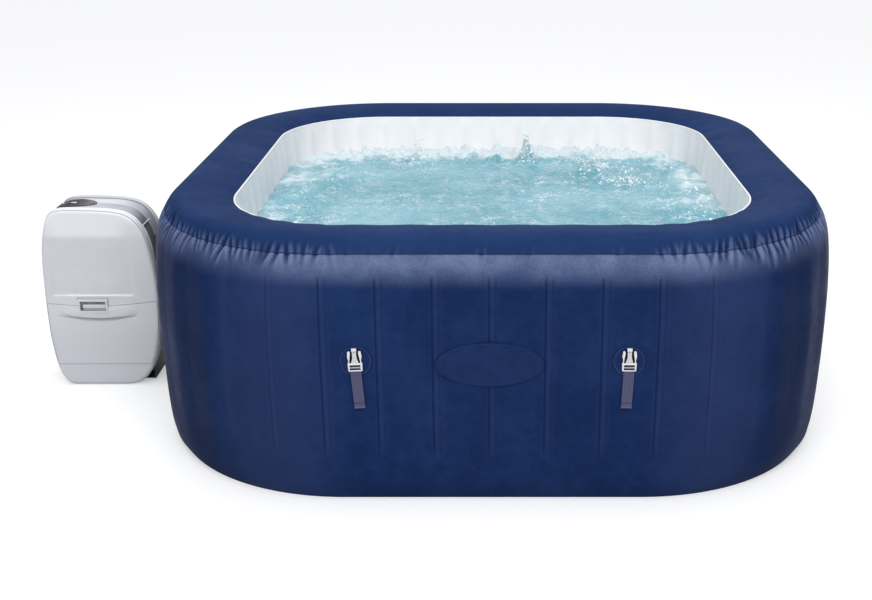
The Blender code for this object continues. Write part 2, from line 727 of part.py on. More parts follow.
def build_service_door():
    """Door of the near side cover, with the raised latch frame, and the sliding latch behind it."""
    pivot = Vector((DOOR_MIDDLE, PUMP_NEAR + 0.5 * CASING_WALL, DOOR_LOW + 0.0020))
    door = slab("service_door", door_outline(0.0), PUMP_NEAR, PUMP_NEAR + CASING_WALL)
    frame = block("latch_frame",
                  (DOOR_MIDDLE - LATCH_FRAME_HALF, PUMP_NEAR - LATCH_FRAME_RISE, LATCH_FRAME_LOW),
                  (DOOR_MIDDLE + LATCH_FRAME_HALF, PUMP_NEAR + 0.5 * CASING_WALL, LATCH_FRAME_HIGH), 0.0015)
    window = block("latch_window",
                   (DOOR_MIDDLE - LATCH_WINDOW_HALF, PUMP_NEAR - 0.01, LATCH_WINDOW_LOW),
                   (DOOR_MIDDLE + LATCH_WINDOW_HALF, PUMP_NEAR + 0.01, LATCH_WINDOW_HIGH))
    for cutter in (frame, window):
        as_cutter(cutter)
    boolean(door, frame, "UNION")
    boolean(door, window)
    set_origin(door, pivot)
    finish(door, (0.58, 0.59, 0.63), 0.35)
    back = PUMP_NEAR + CASING_WALL + GAP
    latch = block("door_latch", (DOOR_MIDDLE - 0.0410, back, 0.2240),
                  (DOOR_MIDDLE + 0.0410, back + 0.0030, 0.2765), 0.0006)
    finger = block("finger_tab", (DOOR_MIDDLE - LATCH_WINDOW_HALF + 0.0010, PUMP_NEAR + 0.0004, 0.2460),
                   (DOOR_MIDDLE + LATCH_WINDOW_HALF - 0.0010, back + 0.0015, LATCH_SPLIT))
    recess = block("latch_recess", (DOOR_MIDDLE - 0.0340, back - 0.01, LATCH_SPLIT + 0.0004),
                   (DOOR_MIDDLE + 0.0340, back + 0.01, 0.2735))
    for cutter in (finger, recess):
        as_cutter(cutter)
    boolean(latch, finger, "UNION")
    boolean(latch, recess)
    set_origin(latch, Vector((DOOR_MIDDLE, back, LATCH_SPLIT)))
    finish(latch, (0.62, 0.63, 0.67), 0.35)


def set_origin(piece, place):
    """Put a piece's origin at a place, and leave its shape where it is."""
    piece.data.transform(Matrix.Translation(-place))
    piece.location = place


def ribbon(name, line, low, high, thickness):
    """Strip of sheet that follows a line in X and Z, as wide as low to high along Y."""
    shape = bmesh.new()
    start = [shape.verts.new((x, low, z)) for x, z in line]
    edges = [shape.edges.new(pair) for pair in zip(start, start[1:])]
    push(shape, edges, (0.0, high - low, 0.0))
    strip = object_from_bmesh(name, shape)
    thick = strip.modifiers.new("thickness", "SOLIDIFY")
    thick.thickness = thickness
    thick.offset = 0.0
    return strip


def top_stretch(inset, left_low, right_low):
    """The part of the pump's outline that runs over its top, from left to right."""
    line = pump_outline(inset)
    left = [point for point in line if point[0] < DOOR_MIDDLE and point[1] > left_low]
    right = [point for point in line if point[0] >= DOOR_MIDDLE and point[1] > right_low]
    over = left + right
    over.sort(key=lambda point: math.atan2(point[0] - DOOR_MIDDLE, point[1] - 0.30))
    return over


def build_core(cutters):
    """Dark middle casing: a band between the side covers, with the foot towards the tub."""
    near, far = PUMP_NEAR + SIDE_DEPTH + GAP, PUMP_FAR - SIDE_DEPTH - GAP
    core = slab("core_casing", pump_outline(CORE_INSET), near, far)
    foot = block("core_foot", (-1.110, near, CORE_INSET), (-1.0075, far, 0.0900), 0.004)
    hollow = slab("core_hollow", pump_outline(CORE_INSET + CASING_WALL), near - 0.01, far + 0.01)
    foot_hollow = block("core_foot_hollow", (-1.110, near - 0.01, CORE_INSET + CASING_WALL),
                        (-1.0105, far + 0.01, 0.0870))
    for cutter in (foot, hollow, foot_hollow):
        as_cutter(cutter)
    boolean(core, foot, "UNION")
    boolean(core, hollow)
    boolean(core, foot_hollow)
    for cutter in cutters:
        boolean(core, cutter)
    finish(core, (0.045, 0.047, 0.052), 0.5)


def build_top_cover():
    """Light cover over the top between the side covers, with a notch at its tub end."""
    near, far = PUMP_NEAR + SIDE_DEPTH + GAP, PUMP_FAR - SIDE_DEPTH - GAP
    line = top_stretch(COVER_INSET + 0.5 * CASING_WALL, 0.4550, 0.4300)
    cover = ribbon("top_cover", line, near, far, CASING_WALL)
    notch = block("cover_notch", (-1.0050, near - 0.01, 0.4000), (-0.9500, PUMP_MIDDLE, 0.4900))
    boolean(cover, as_cutter(notch))
    for place in BUTTON_PLACES.values():
        boolean(cover, button_hole("cover_hole", place))
    finish(cover, (0.55, 0.56, 0.61), 0.35)


def button_hole(name, place):
    """Cutter for one button's hole."""
    radius = BUTTON_RADIUS + BUTTON_CLEARANCE
    return as_cutter(rod(name, radius, (*place, 0.50), (*place, 0.56), 12))


def panel_outline(shrink=0.0):
    """Control panel from above: round at its left end, drawn out to a tip towards the tub."""
    length = PANEL_RIGHT - PANEL_LEFT - 2 * shrink
    points = []
    for step in range(28):
        angle = 2 * math.pi * step / 28
        along = 0.5 * (1 + math.cos(angle))
        taper = (1 - along) ** 0.35
        points.append((PANEL_LEFT + shrink + length * along,
                       PUMP_MIDDLE + (PANEL_HALF_WIDTH - shrink) * math.sin(angle) * (0.72 + 0.48 * taper)))
    return points


def build_control_panel():
    """Black panel on the top cover, its display window and its push buttons."""
    near, far = PUMP_NEAR + SIDE_DEPTH + GAP, PUMP_FAR - SIDE_DEPTH - GAP
    rise = COVER_INSET - GAP - 0.5 * PANEL_SKIN
    panel = ribbon("control_panel", top_stretch(rise, 0.4600, 0.4600), near, far, PANEL_SKIN)
    shape = slab("panel_shape", panel_outline(), 0.45, 0.58, "Z")
    boolean(panel, as_cutter(shape), "INTERSECT")
    left, right = DISPLAY_CENTRE[0] - 0.5 * DISPLAY_SIZE[0], DISPLAY_CENTRE[0] + 0.5 * DISPLAY_SIZE[0]
    low, high = DISPLAY_CENTRE[1] - 0.5 * DISPLAY_SIZE[1], DISPLAY_CENTRE[1] + 0.5 * DISPLAY_SIZE[1]
    window = block("display_window", (left, low, 0.50), (right, high, 0.56))
    boolean(panel, as_cutter(window))
    for place in BUTTON_PLACES.values():
        boolean(panel, button_hole("panel_hole", place))
    finish(panel, (0.012, 0.012, 0.014), 0.12)
    lens = block("display_lens", (left + GAP, low + GAP, 0.5351), (right - GAP, high - GAP, 0.5374), 0.0004)
    finish(lens, (0.30, 0.34, 0.36), 0.08)
    for name, (x, y) in BUTTON_PLACES.items():
        button = turned(f"button_{name}", [
            (0.0, 0.0), (BUTTON_RADIUS - 0.0008, 0.0), (BUTTON_RADIUS, -0.0008),
            (BUTTON_RADIUS, -BUTTON_HEIGHT), (0.0, -BUTTON_HEIGHT),
        ], (x, y, BUTTON_TOP + 0.0012), (0.0, 0.0, 1.0), steps=12)
        finish(button, (0.05, 0.05, 0.055), 0.3)


def build_ports():
    """Inflation port with its cap and the cord gland, both in the core casing's outer side."""
    port_height = 0.3000
    wall = -1.2929
    cap = turned("inflation_cap", [
        (0.0, 0.0060), (0.021, 0.0060), (0.024, 0.0040), (0.024, 0.0006), (0.0185, 0.0006),
        (0.0185, -0.012), (0.0155, -0.012), (0.0155, 0.0030), (0.0, 0.0030),
    ], (wall, PUMP_MIDDLE, port_height), (-1.0, 0.0, 0.0))
    finish(cap, (0.10, 0.105, 0.115), 0.5)
    gland_height = 0.0950
    gland_wall = -1.2875
    gland = turned("cord_gland", [
        (0.0, 0.0080), (0.0060, 0.0080), (0.0090, 0.0040), (0.0120, 0.0036), (0.0120, 0.0004),
        (0.0070, 0.0004), (0.0070, -0.010), (0.0, -0.010),
    ], (gland_wall, PUMP_MIDDLE, gland_height), (-1.0, 0.0, 0.0), steps=16)
    finish(gland, (0.03, 0.03, 0.035), 0.7)
    port_hole = rod("port_hole", 0.0190, (-1.32, PUMP_MIDDLE, port_height),
                    (-1.27, PUMP_MIDDLE, port_height))
    gland_hole = rod("gland_hole", 0.0073, (-1.32, PUMP_MIDDLE, gland_height),
                     (-1.26, PUMP_MIDDLE, gland_height), 16)
    holes = [port_hole, gland_hole]
    for name, bore, y, height in (("inlet", WATER_BORE, INLET_Y, WATER_HEIGHT),
                                  ("outlet", WATER_BORE, OUTLET_Y, WATER_HEIGHT),
                                  ("air", AIR_BORE, AIR_Y, AIR_HEIGHT)):
        holes.append(rod(name + "_port", min(bore, 0.0080), (-1.02, y, height), (-0.95, y, height), 12))
    return [as_cutter(hole) for hole in holes]


# ---------------------------------------------------------------- pump insides


def build_machinery():
    """Circulation pump, air blower, heater and circuit board inside the casing."""
    along_y = (0.0, 1.0, 0.0)
    pump_place = (-1.1000, -0.1400, 0.0900)
    body = turned("water_pump_body", [
        (0.018, 0.098), (0.030, 0.094), (0.030, 0.040), (0.046, 0.034), (0.046, 0.0), (0.042, 0.0),
        (0.042, 0.030), (0.0050, 0.030), (0.0050, 0.098),
    ], pump_place, along_y, closed=True)
    finish(body, (0.05, 0.055, 0.06), 0.5)
    impeller = turned("impeller", [
        (0.0, 0.060), (0.0045, 0.060), (0.0045, 0.028), (0.039, 0.028), (0.039, 0.024), (0.014, 0.022),
        (0.012, 0.006), (0.0, 0.004),
    ], pump_place, along_y)
    vane_ring(impeller, pump_place, 5, 0.038, (0.0080, 0.0250))
    finish(impeller, (0.65, 0.66, 0.68), 0.45)
    blower_place = (-1.1500, -0.1400, 0.3900)
    housing = turned("blower_housing", [
        (0.026, 0.096), (0.032, 0.092), (0.032, 0.058), (0.070, 0.052), (0.070, 0.0), (0.066, 0.0),
        (0.066, 0.048), (0.0050, 0.048), (0.0050, 0.096),
    ], blower_place, along_y, steps=22, closed=True)
    finish(housing, (0.06, 0.065, 0.07), 0.5)
    fan = turned("blower_fan", [
        (0.0, 0.080), (0.0045, 0.080), (0.0045, 0.046), (0.062, 0.046), (0.062, 0.042), (0.018, 0.040),
        (0.014, 0.012), (0.0, 0.010),
    ], blower_place, along_y)
    vane_ring(fan, blower_place, 9, 0.060, (0.0140, 0.0430))
    finish(fan, (0.60, 0.62, 0.66), 0.45)
    heater = tube("heater_tube", 0.0130, [
        (-1.2150, -0.0920, 0.0600), (-1.2450, -0.0920, 0.0800), (-1.2550, -0.0920, 0.1300),
        (-1.2500, -0.0920, 0.2300), (-1.2150, -0.0920, 0.2700), (-1.1800, -0.0920, 0.2300),
        (-1.1780, -0.0920, 0.1500),
    ])
    finish(heater, (0.62, 0.62, 0.62), 0.25, 1.0)
    board = block("circuit_board", (-1.2350, -0.1270, 0.4860), (-1.1050, -0.0570, 0.4876))
    for index, (x, y, size, rise) in enumerate((
        (-1.2150, -0.1100, 0.010, 0.014), (-1.1900, -0.0750, 0.007, 0.012),
        (-1.1500, -0.1050, 0.012, 0.010), (-1.1300, -0.0750, 0.008, 0.012),
    )):
        chip = block(f"chip_{index}", (x - size, y - size, 0.4868), (x + size, y + size, 0.4876 + rise))
        boolean(board, as_cutter(chip), "UNION")
    finish(board, (0.02, 0.16, 0.06), 0.4)


def vane_ring(rotor, place, count, reach, depth):
    """Join straight vanes to a rotor that turns about Y."""
    for index in range(count):
        angle = 2 * math.pi * index / count
        vane = block(f"{rotor.name}_vane_{index}", (0.010, depth[0], -0.0012), (reach, depth[1], 0.0012))
        vane.matrix_world = Matrix.Translation(place) @ Matrix.Rotation(angle, 4, "Y")
        boolean(rotor, as_cutter(vane), "UNION")


def tube(name, radius, points):
    """Round tube along a smooth path."""
    curve = bpy.data.curves.new(name, "CURVE")
    curve.dimensions = "3D"
    curve.bevel_depth = radius
    curve.bevel_resolution = 2
    curve.use_fill_caps = True
    curve.resolution_u = 4
    spline = curve.splines.new("BEZIER")
    spline.bezier_points.add(len(points) - 1)
    for knot, place in zip(spline.bezier_points, points):
        knot.co = place
        knot.handle_left_type = "AUTO"
        knot.handle_right_type = "AUTO"
    piece = bpy.data.objects.new(name, curve)
    PARTS.objects.link(piece)
    return piece


# ---------------------------------------------------------------- assembly


def shade_round_pieces():
    """Smooth shading with sharp edges where faces meet steeply."""
    for piece in PARTS.objects:
        if piece.type == "MESH":
            piece.data.shade_smooth()
            piece.data.set_sharp_from_angle(angle=math.radians(35))


def main():
    """Build the whole tub and its pump."""
    outer, inner = build_skins()
    build_floor()
    build_tension_web()
    build_bubble_tube()
    build_wall_pipes(outer, inner)
    build_filter()
    build_drain(outer, inner)
    build_air_valve(outer)
    build_straps()
    build_badge()
    build_side_covers()
    build_service_door()
    build_core(build_ports())
    build_top_cover()
    build_control_panel()
    build_machinery()
    shade_round_pieces()


main()
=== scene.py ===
"""Looks of an inflatable hot tub and its pump unit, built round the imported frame."""

import logging
import math
import random
from dataclasses import dataclass, field
from enum import Enum
from typing import Any, Callable, Sequence

import bpy
import numpy as np
from mathutils import Matrix, Vector, noise


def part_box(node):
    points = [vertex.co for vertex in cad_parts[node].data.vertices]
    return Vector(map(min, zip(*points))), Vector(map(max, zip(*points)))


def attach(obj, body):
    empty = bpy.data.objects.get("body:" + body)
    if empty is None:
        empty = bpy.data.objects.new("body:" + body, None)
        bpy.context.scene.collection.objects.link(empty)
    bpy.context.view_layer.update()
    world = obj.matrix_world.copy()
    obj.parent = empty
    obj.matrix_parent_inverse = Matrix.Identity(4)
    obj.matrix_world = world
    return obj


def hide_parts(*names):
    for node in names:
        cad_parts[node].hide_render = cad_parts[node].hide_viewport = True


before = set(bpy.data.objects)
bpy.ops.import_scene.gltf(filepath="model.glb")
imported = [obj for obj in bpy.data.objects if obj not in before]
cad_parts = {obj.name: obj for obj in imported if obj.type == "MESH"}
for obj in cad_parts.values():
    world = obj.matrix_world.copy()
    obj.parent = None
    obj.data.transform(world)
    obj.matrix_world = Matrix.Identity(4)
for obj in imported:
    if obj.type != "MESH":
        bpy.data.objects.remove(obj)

LOG = logging.getLogger("hot_tub")
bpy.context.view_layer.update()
MERGE = 0.00002
FULL_TURN = 2.0 * math.pi
QUARTER_TURN = 0.5 * math.pi
WATER_IOR = 1.33
CLEAR = 0.01
Colour = tuple[float, float, float]
Point = tuple[float, float]
Piece = bpy.types.Object
Socket = bpy.types.NodeSocket
Array = np.ndarray


# ---- mesh helpers


def pick_only(piece: Piece) -> None:
    """Select one piece alone and make it active.

    Args:
        piece: The piece that the next operator works on.
    """
    if bpy.context.mode != "OBJECT":
        bpy.ops.object.mode_set(mode="OBJECT")
    bpy.ops.object.select_all(action="DESELECT")
    piece.select_set(True)
    bpy.context.view_layer.objects.active = piece


def named(name: str) -> Piece:
    """Name the object that an operator has just added.

    Args:
        name: Name for the object and its mesh.

    Returns:
        The active object.
    """
    piece = bpy.context.view_layer.objects.active
    piece.name = name
    piece.data.name = name
    return piece


def modify(piece: Piece, kind: str, **settings: Any) -> None:
    """Add a modifier to a piece and apply it.

    Args:
        piece: The piece to change.
        kind: Modifier type.
        **settings: Values for the modifier.
    """
    pick_only(piece)
    modifier = piece.modifiers.new(kind.lower(), kind)
    for key, value in settings.items():
        setattr(modifier, key, value)
    bpy.ops.object.modifier_apply(modifier=modifier.name)


def place_in_mesh(piece: Piece) -> None:
    """Move a piece's place, turn and scale into its mesh."""
    pick_only(piece)
    bpy.ops.object.transform_apply(location=True, rotation=True, scale=True)


def smooth(piece: Piece, degrees: float = 32.0) -> None:
    """Shade a piece smooth, with edges steeper than the angle kept sharp."""
    pick_only(piece)
    bpy.ops.object.shade_smooth_by_angle(angle=math.radians(degrees))


def bevel(piece: Piece, width: float) -> None:
    """Round a piece's edges off."""
    modify(piece, "BEVEL", width=width, segments=3)


def thicken(piece: Piece, thickness: float, offset: float = -1.0) -> None:
    """Give an open piece its thickness, behind its faces unless the offset says otherwise."""
    modify(piece, "SOLIDIFY", thickness=thickness, offset=offset)


def weld(piece: Piece) -> None:
    """Merge a piece's doubled points, and turn its faces outwards."""
    pick_only(piece)
    bpy.ops.object.mode_set(mode="EDIT")
    bpy.ops.mesh.select_all(action="SELECT")
    bpy.ops.mesh.remove_doubles(threshold=MERGE)
    bpy.ops.mesh.normals_make_consistent(inside=False)
    bpy.ops.object.mode_set(mode="OBJECT")


def flip(piece: Piece) -> None:
    """Turn every face of a piece the other way."""
    pick_only(piece)
    bpy.ops.object.mode_set(mode="EDIT")
    bpy.ops.mesh.select_all(action="SELECT")
    bpy.ops.mesh.flip_normals()
    bpy.ops.object.mode_set(mode="OBJECT")


def join(name: str, pieces: Sequence[Piece]) -> Piece:
    """Join several pieces into the first.

    Args:
        name: Name of the joined piece.
        pieces: The pieces, each with its place in its mesh.

    Returns:
        The joined piece.
    """
    pick_only(pieces[0])
    for piece in pieces[1:]:
        piece.select_set(True)
    bpy.ops.object.join()
    return named(name)


def cut(piece: Piece, tool: Piece, how: str = "DIFFERENCE") -> None:
    """Cut, join or trim a closed piece with a closed tool, which is used up.

    Args:
        piece: The piece that is changed.
        tool: The cutting shape.
        how: DIFFERENCE, UNION or INTERSECT.
    """
    modify(piece, "BOOLEAN", object=tool, operation=how, solver="MANIFOLD")
    bpy.data.objects.remove(tool, do_unlink=True)


def formed_grid(name: str, points: Array, chart: Array | None = None, **marks: Array) -> Piece:
    """Grid primitive whose points are laid on a worked-out surface.

    Args:
        name: Name of the piece.
        points: Places as an array of rows, columns and 3 coordinates.
        chart: UV values for each point, as rows, columns and 2 values.
        **marks: Values for each point, as rows and columns, kept as attributes of those names.

    Returns:
        The formed grid, open at its borders.
    """
    rows, columns = points.shape[:2]
    bpy.ops.object.select_all(action="DESELECT")
    bpy.ops.mesh.primitive_grid_add(x_subdivisions=columns - 1, y_subdivisions=rows - 1, size=2.0)
    piece = named(name)
    mesh = piece.data
    flat = np.empty(len(mesh.vertices) * 3)
    mesh.vertices.foreach_get("co", flat)
    flat = flat.reshape(-1, 3)
    column = np.rint((flat[:, 0] + 1.0) * 0.5 * (columns - 1)).astype(int)
    row = np.rint((flat[:, 1] + 1.0) * 0.5 * (rows - 1)).astype(int)
    mesh.vertices.foreach_set("co", points[row, column].ravel())
    if chart is not None:
        corner = np.empty(len(mesh.loops), dtype=np.int32)
        mesh.loops.foreach_get("vertex_index", corner)
        layer = mesh.uv_layers[0]
        layer.data.foreach_set("uv", chart[row[corner], column[corner]].ravel())
    for label, values in marks.items():
        mesh.attributes.new(label, "FLOAT", "POINT").data.foreach_set("value", values[row, column])
    mesh.update()
    return piece


def prism(name: str, outline: Sequence[Point] | Array, low: float, high: float) -> Piece:
    """Closed slab of a flat outline, made from a circle primitive and extruded along Y.

    Args:
        name: Name of the piece.
        outline: Points (x, z).
        low: Lower end along Y.
        high: Upper end along Y.

    Returns:
        The slab.
    """
    bpy.ops.object.select_all(action="DESELECT")
    bpy.ops.mesh.primitive_circle_add(vertices=len(outline), radius=1.0, fill_type="NGON")
    piece = named(name)
    for vertex, (x, z) in zip(piece.data.vertices, outline):
        vertex.co = (x, low, z)
    bpy.ops.object.mode_set(mode="EDIT")
    bpy.ops.mesh.select_all(action="SELECT")
    bpy.ops.mesh.extrude_region_move(TRANSFORM_OT_translate={"value": (0.0, high - low, 0.0)})
    bpy.ops.mesh.select_all(action="SELECT")
    bpy.ops.mesh.normals_make_consistent(inside=False)
    bpy.ops.object.mode_set(mode="OBJECT")
    return piece


def box(name: str, low: Sequence[float], high: Sequence[float], edge: float = 0.0) -> Piece:
    """Cube primitive between two corners, with its edges bevelled.

    Args:
        name: Name of the piece.
        low: Lowest corner.
        high: Highest corner.
        edge: Width of the bevel.

    Returns:
        The block, with its place in its mesh.
    """
    low_corner, high_corner = Vector(low), Vector(high)
    bpy.ops.object.select_all(action="DESELECT")
    bpy.ops.mesh.primitive_cube_add(size=1.0, location=(low_corner + high_corner) * 0.5,
                                    scale=high_corner - low_corner)
    piece = named(name)
    place_in_mesh(piece)
    if edge > 0.0:
        bevel(piece, edge)
    return piece


def turned(name: str, profile: Sequence[Point], place: Sequence[float], axis: Sequence[float], steps: int,
           hollow: float | Array = 0.0) -> Piece:
    """Turned piece: a profile spun round an axis, closed at both poles.

    Args:
        name: Name of the piece.
        profile: Points (radius, height along the axis), from one pole to the other.
        place: Where the profile's zero height lies.
        axis: Direction of the axis.
        steps: Points round the axis.
        hollow: What is taken off the radius, as rows and columns.

    Returns:
        The turned piece.
    """
    angle = np.linspace(0.0, FULL_TURN, steps + 1)
    radius, height = np.array(profile).T[:, :, None]
    radius = radius - hollow
    points = np.stack([radius * np.cos(angle), radius * np.sin(angle), height + 0.0 * angle], axis=2)
    piece = formed_grid(name, points)
    weld(piece)
    turn = Vector((0.0, 0.0, 1.0)).rotation_difference(Vector(axis)).to_matrix().to_4x4()
    piece.matrix_world = Matrix.Translation(place) @ turn
    place_in_mesh(piece)
    smooth(piece)
    return piece


def tube(name: str, path: Sequence[Sequence[float]], radius: float) -> Piece:
    """Round bar along a path, closed at both ends.

    Args:
        name: Name of the bar.
        path: Places along its middle.
        radius: Radius of the bar.

    Returns:
        The bar.
    """
    line = np.array([path[0], *path, path[-1]])
    way = np.gradient(np.array(path), axis=0)
    way = np.vstack([way[:1], way, way[-1:]])
    way /= np.linalg.norm(way, axis=1)[:, None]
    side = np.cross(way, (0.30, 0.90, 0.32))
    side /= np.linalg.norm(side, axis=1)[:, None]
    third = np.cross(way, side)
    size = np.full(len(line), radius)
    size[[0, -1]] = 0.0
    turn = np.linspace(0.0, FULL_TURN, 11)[None, :, None]
    ring = side[:, None] * np.cos(turn) + third[:, None] * np.sin(turn)
    piece = formed_grid(name, line[:, None] + size[:, None, None] * ring)
    weld(piece)
    smooth(piece, 60.0)
    return piece


def ramp_between(value: Array, start: float, end: float) -> Array:
    """Smooth step from 0 at start to 1 at end, where end may be the lower one."""
    share = np.clip((value - start) / (end - start), 0.0, 1.0)
    return share * share * (3.0 - 2.0 * share)


def bell(value: Array, width: float | Array) -> Array:
    """Bell curve of height 1 and the given half width."""
    return np.exp(-(value / width) ** 2)


def cloud(points: Array, scale: float, seed: float = 0.0) -> Array:
    """Soft noise from -1 to 1 at each point.

    Args:
        points: Places, with 3 coordinates last.
        scale: Patches in a metre.
        seed: Shift that gives another pattern.

    Returns:
        One value for each point.
    """
    flat = points.reshape(-1, 3) * scale + seed
    values = [noise.noise(place) for place in flat.tolist()]
    return np.array(values).reshape(points.shape[:-1])


# ---- finishes


class Nodes:
    """Shorthand for laying nodes in one tree."""

    def __init__(self, tree: bpy.types.NodeTree) -> None:
        """Start with the tree that nodes are added to."""
        self.tree = tree

    def put(self, target: Socket, value: Any) -> None:
        """Feed an input from a socket, or set its plain value."""
        if isinstance(value, Socket):
            self.tree.links.new(value, target)
        elif target.type == "RGBA":
            target.default_value = (*value, 1.0)
        else:
            target.default_value = value

    def add(self, kind: str, values: dict[Any, Any] | None = None, **settings: Any) -> bpy.types.Node:
        """Add a node.

        Args:
            kind: Node type without its ShaderNode prefix.
            values: Input name or index to a value or a socket that feeds it.
            **settings: Properties of the node.

        Returns:
            The new node.
        """
        node = self.tree.nodes.new(kind if kind.startswith("Node") else "ShaderNode" + kind)
        for key, value in settings.items():
            setattr(node, key, value)
        for key, value in (values or {}).items():
            self.put(node.inputs[key], value)
        return node

    def sum(self, how: str, first: Any, second: Any = 0.0, third: Any = 0.0) -> Socket:
        """One Math node; returns its value."""
        return self.add("Math", {0: first, 1: second, 2: third}, operation=how).outputs[0]

    def times(self, first: Any, *others: Any) -> Any:
        """Product of two or more values."""
        for other in others:
            first = self.sum("MULTIPLY", first, other)
        return first

    def cloud(self, place: Any, scale: float, detail: float = 3.0, rough: float = 0.5) -> Socket:
        """Noise value at a place."""
        values = {"Vector": place, "Scale": scale, "Detail": detail, "Roughness": rough}
        return self.add("TexNoise", values).outputs["Fac"]

    def fade(self, value: Any, start: float, end: float, low: float = 0.0,
             high: float = 1.0) -> Socket:
        """Smooth map of a value from one range to another."""
        values = {"Value": value, "From Min": start, "From Max": end, "To Min": low, "To Max": high}
        return self.add("MapRange", values, interpolation_type="SMOOTHSTEP").outputs[0]

    def near(self, value: Any, middle: float, outer: float, inner: float, low: float = 0.0,
             high: float = 1.0) -> Socket:
        """Mask round a middle value: low beyond the outer distance, high within the inner one."""
        return self.fade(self.sum("ABSOLUTE", self.sum("SUBTRACT", value, middle)), outer, inner, low, high)

    def blend(self, share: Any, first: Any, second: Any) -> Socket:
        """Mix two colours; returns the mixed colour."""
        return self.add("Mix", {"Factor": share, 6: first, 7: second}, data_type="RGBA").outputs[2]

    def layers(self, colour: Any, *layers: tuple[Colour, Any, float]) -> Any:
        """Lay colours over one another, in order.

        Args:
            colour: What lies underneath.
            *layers: For each, its colour, where it lies, and the most that it covers.

        Returns:
            The mixed colour.
        """
        for over, share, most in layers:
            colour = self.blend(self.times(share, most), colour, over)
        return colour

    def place(self) -> Socket:
        """Place on the piece."""
        return self.add("TexCoord").outputs["Object"]

    def parts(self, place: Any) -> Any:
        """Three coordinates of a place."""
        return self.add("SeparateXYZ", {0: place}).outputs

    def chart(self) -> Any:
        """Values of the piece's own UV map."""
        return self.parts(self.add("UVMap").outputs[0])

    def mark(self, name: str) -> Socket:
        """Value of a point attribute."""
        return self.add("Attribute", attribute_name=name).outputs["Fac"]

    def group(self, tree: bpy.types.NodeTree, **values: Any) -> Any:
        """Place a shared group; returns its outputs."""
        return self.add("Group", values, node_tree=tree).outputs

    def bump(self, height: Any, strength: float, distance: float) -> Socket:
        """Normal for a height."""
        return self.add("Bump", {"Height": height, "Strength": strength, "Distance": distance}).outputs[0]


def shared_group(name: str, inputs: dict[str, str], outputs: dict[str, str],
                 lay: Callable[[Nodes, Any], dict[str, Any]]) -> bpy.types.NodeTree:
    """Shader node group, built once.

    Args:
        name: Name of the group.
        inputs: Input name to socket type.
        outputs: Output name to socket type.
        lay: Lays the nodes and returns what feeds each output.

    Returns:
        The group's tree.
    """
    if name in bpy.data.node_groups:
        return bpy.data.node_groups[name]
    tree = bpy.data.node_groups.new(name, "ShaderNodeTree")
    for way, sockets in (("INPUT", inputs), ("OUTPUT", outputs)):
        for label, kind in sockets.items():
            tree.interface.new_socket(label, in_out=way, socket_type="NodeSocket" + kind)
    nodes = Nodes(tree)
    nodes.add("NodeGroupOutput", lay(nodes, nodes.add("NodeGroupInput").outputs))
    return tree


def mottle_group() -> bpy.types.NodeTree:
    """Colour that drifts between two tones in soft patches with a fine speckle."""

    def lay(nodes: Nodes, source: Any) -> dict[str, Any]:
        """Lay the patches and the speckle."""
        patches = nodes.cloud(source["Place"], 5.0, 4.0, 0.55)
        small = nodes.cloud(source["Place"], 38.0, 3.0, 0.6)
        fine = nodes.cloud(source["Place"], 420.0, 2.0, 0.6)
        mixed = nodes.sum("MULTIPLY_ADD", small, 0.35, nodes.times(patches, 0.65))
        mixed = nodes.sum("MULTIPLY_ADD", nodes.sum("SUBTRACT", fine, 0.5), source["Speckle"], mixed)
        share = nodes.fade(mixed, 0.36, 0.66)
        return {"Colour": nodes.blend(share, source["Deep"], source["Light"]), "Share": share}

    inputs = {"Place": "Vector", "Deep": "Color", "Light": "Color", "Speckle": "Float"}
    return shared_group("soft_mottle", inputs, {"Colour": "Color", "Share": "Float"}, lay)


def grain_group() -> bpy.types.NodeTree:
    """Height of a fine moulded grain."""

    def lay(nodes: Nodes, source: Any) -> dict[str, Any]:
        """Lay two sizes of grain."""
        values = {"Vector": source["Place"], "Scale": source["Scale"]}
        cells = nodes.add("TexVoronoi", values).outputs["Distance"]
        coarse = nodes.cloud(source["Place"], 60.0, 3.0, 0.6)
        return {"Height": nodes.sum("MULTIPLY_ADD", coarse, 0.6, nodes.times(cells, 0.4))}

    return shared_group("moulded_grain", {"Place": "Vector", "Scale": "Float"}, {"Height": "Float"}, lay)


def worn_and_highlit_edges_group() -> bpy.types.NodeTree:
    """Mask that is high along convex outer edges, which are worn and carry a painted highlight."""

    def lay(nodes: Nodes, source: Any) -> dict[str, Any]:
        """Lay the edge mask, broken up by noise."""
        edge = nodes.fade(nodes.add("NewGeometry").outputs["Pointiness"], 0.515, 0.58)
        broken = nodes.fade(nodes.cloud(source["Place"], 90.0, 4.0, 0.65), 0.35, 0.65)
        return {"Mask": nodes.times(edge, broken)}

    return shared_group("worn_and_highlit_edges", {"Place": "Vector"}, {"Mask": "Float"}, lay)


@dataclass(frozen=True)
class Finish:
    """What every finish has: a name and a way to make its material."""

    name: str

    def material(self) -> bpy.types.Material:
        """Return the finish's material, made the first time it is asked for."""
        label = self.name + "_finish"
        if label in bpy.data.materials:
            return bpy.data.materials[label]
        made = bpy.data.materials.new(label)
        made.use_nodes = True
        nodes = Nodes(made.node_tree)
        shader = made.node_tree.nodes["Principled BSDF"]
        for key, value in self.lay(nodes, nodes.place()).items():
            nodes.put(shader.inputs[key], value)
        return made

    def lay(self, nodes: Nodes, place: Any) -> dict[str, Any]:
        """Lay the finish's nodes.

        Args:
            nodes: The material's nodes.
            place: Place on the piece.

        Returns:
            What feeds each of the shader's inputs.
        """
        raise NotImplementedError

    def dress(self, piece: Piece) -> Piece:
        """Give a piece this finish alone and return the piece."""
        made = self.material()
        if len(piece.data.materials) == 0:
            piece.data.materials.append(made)
        for index in range(len(piece.data.materials)):
            piece.data.materials[index] = made
        return piece


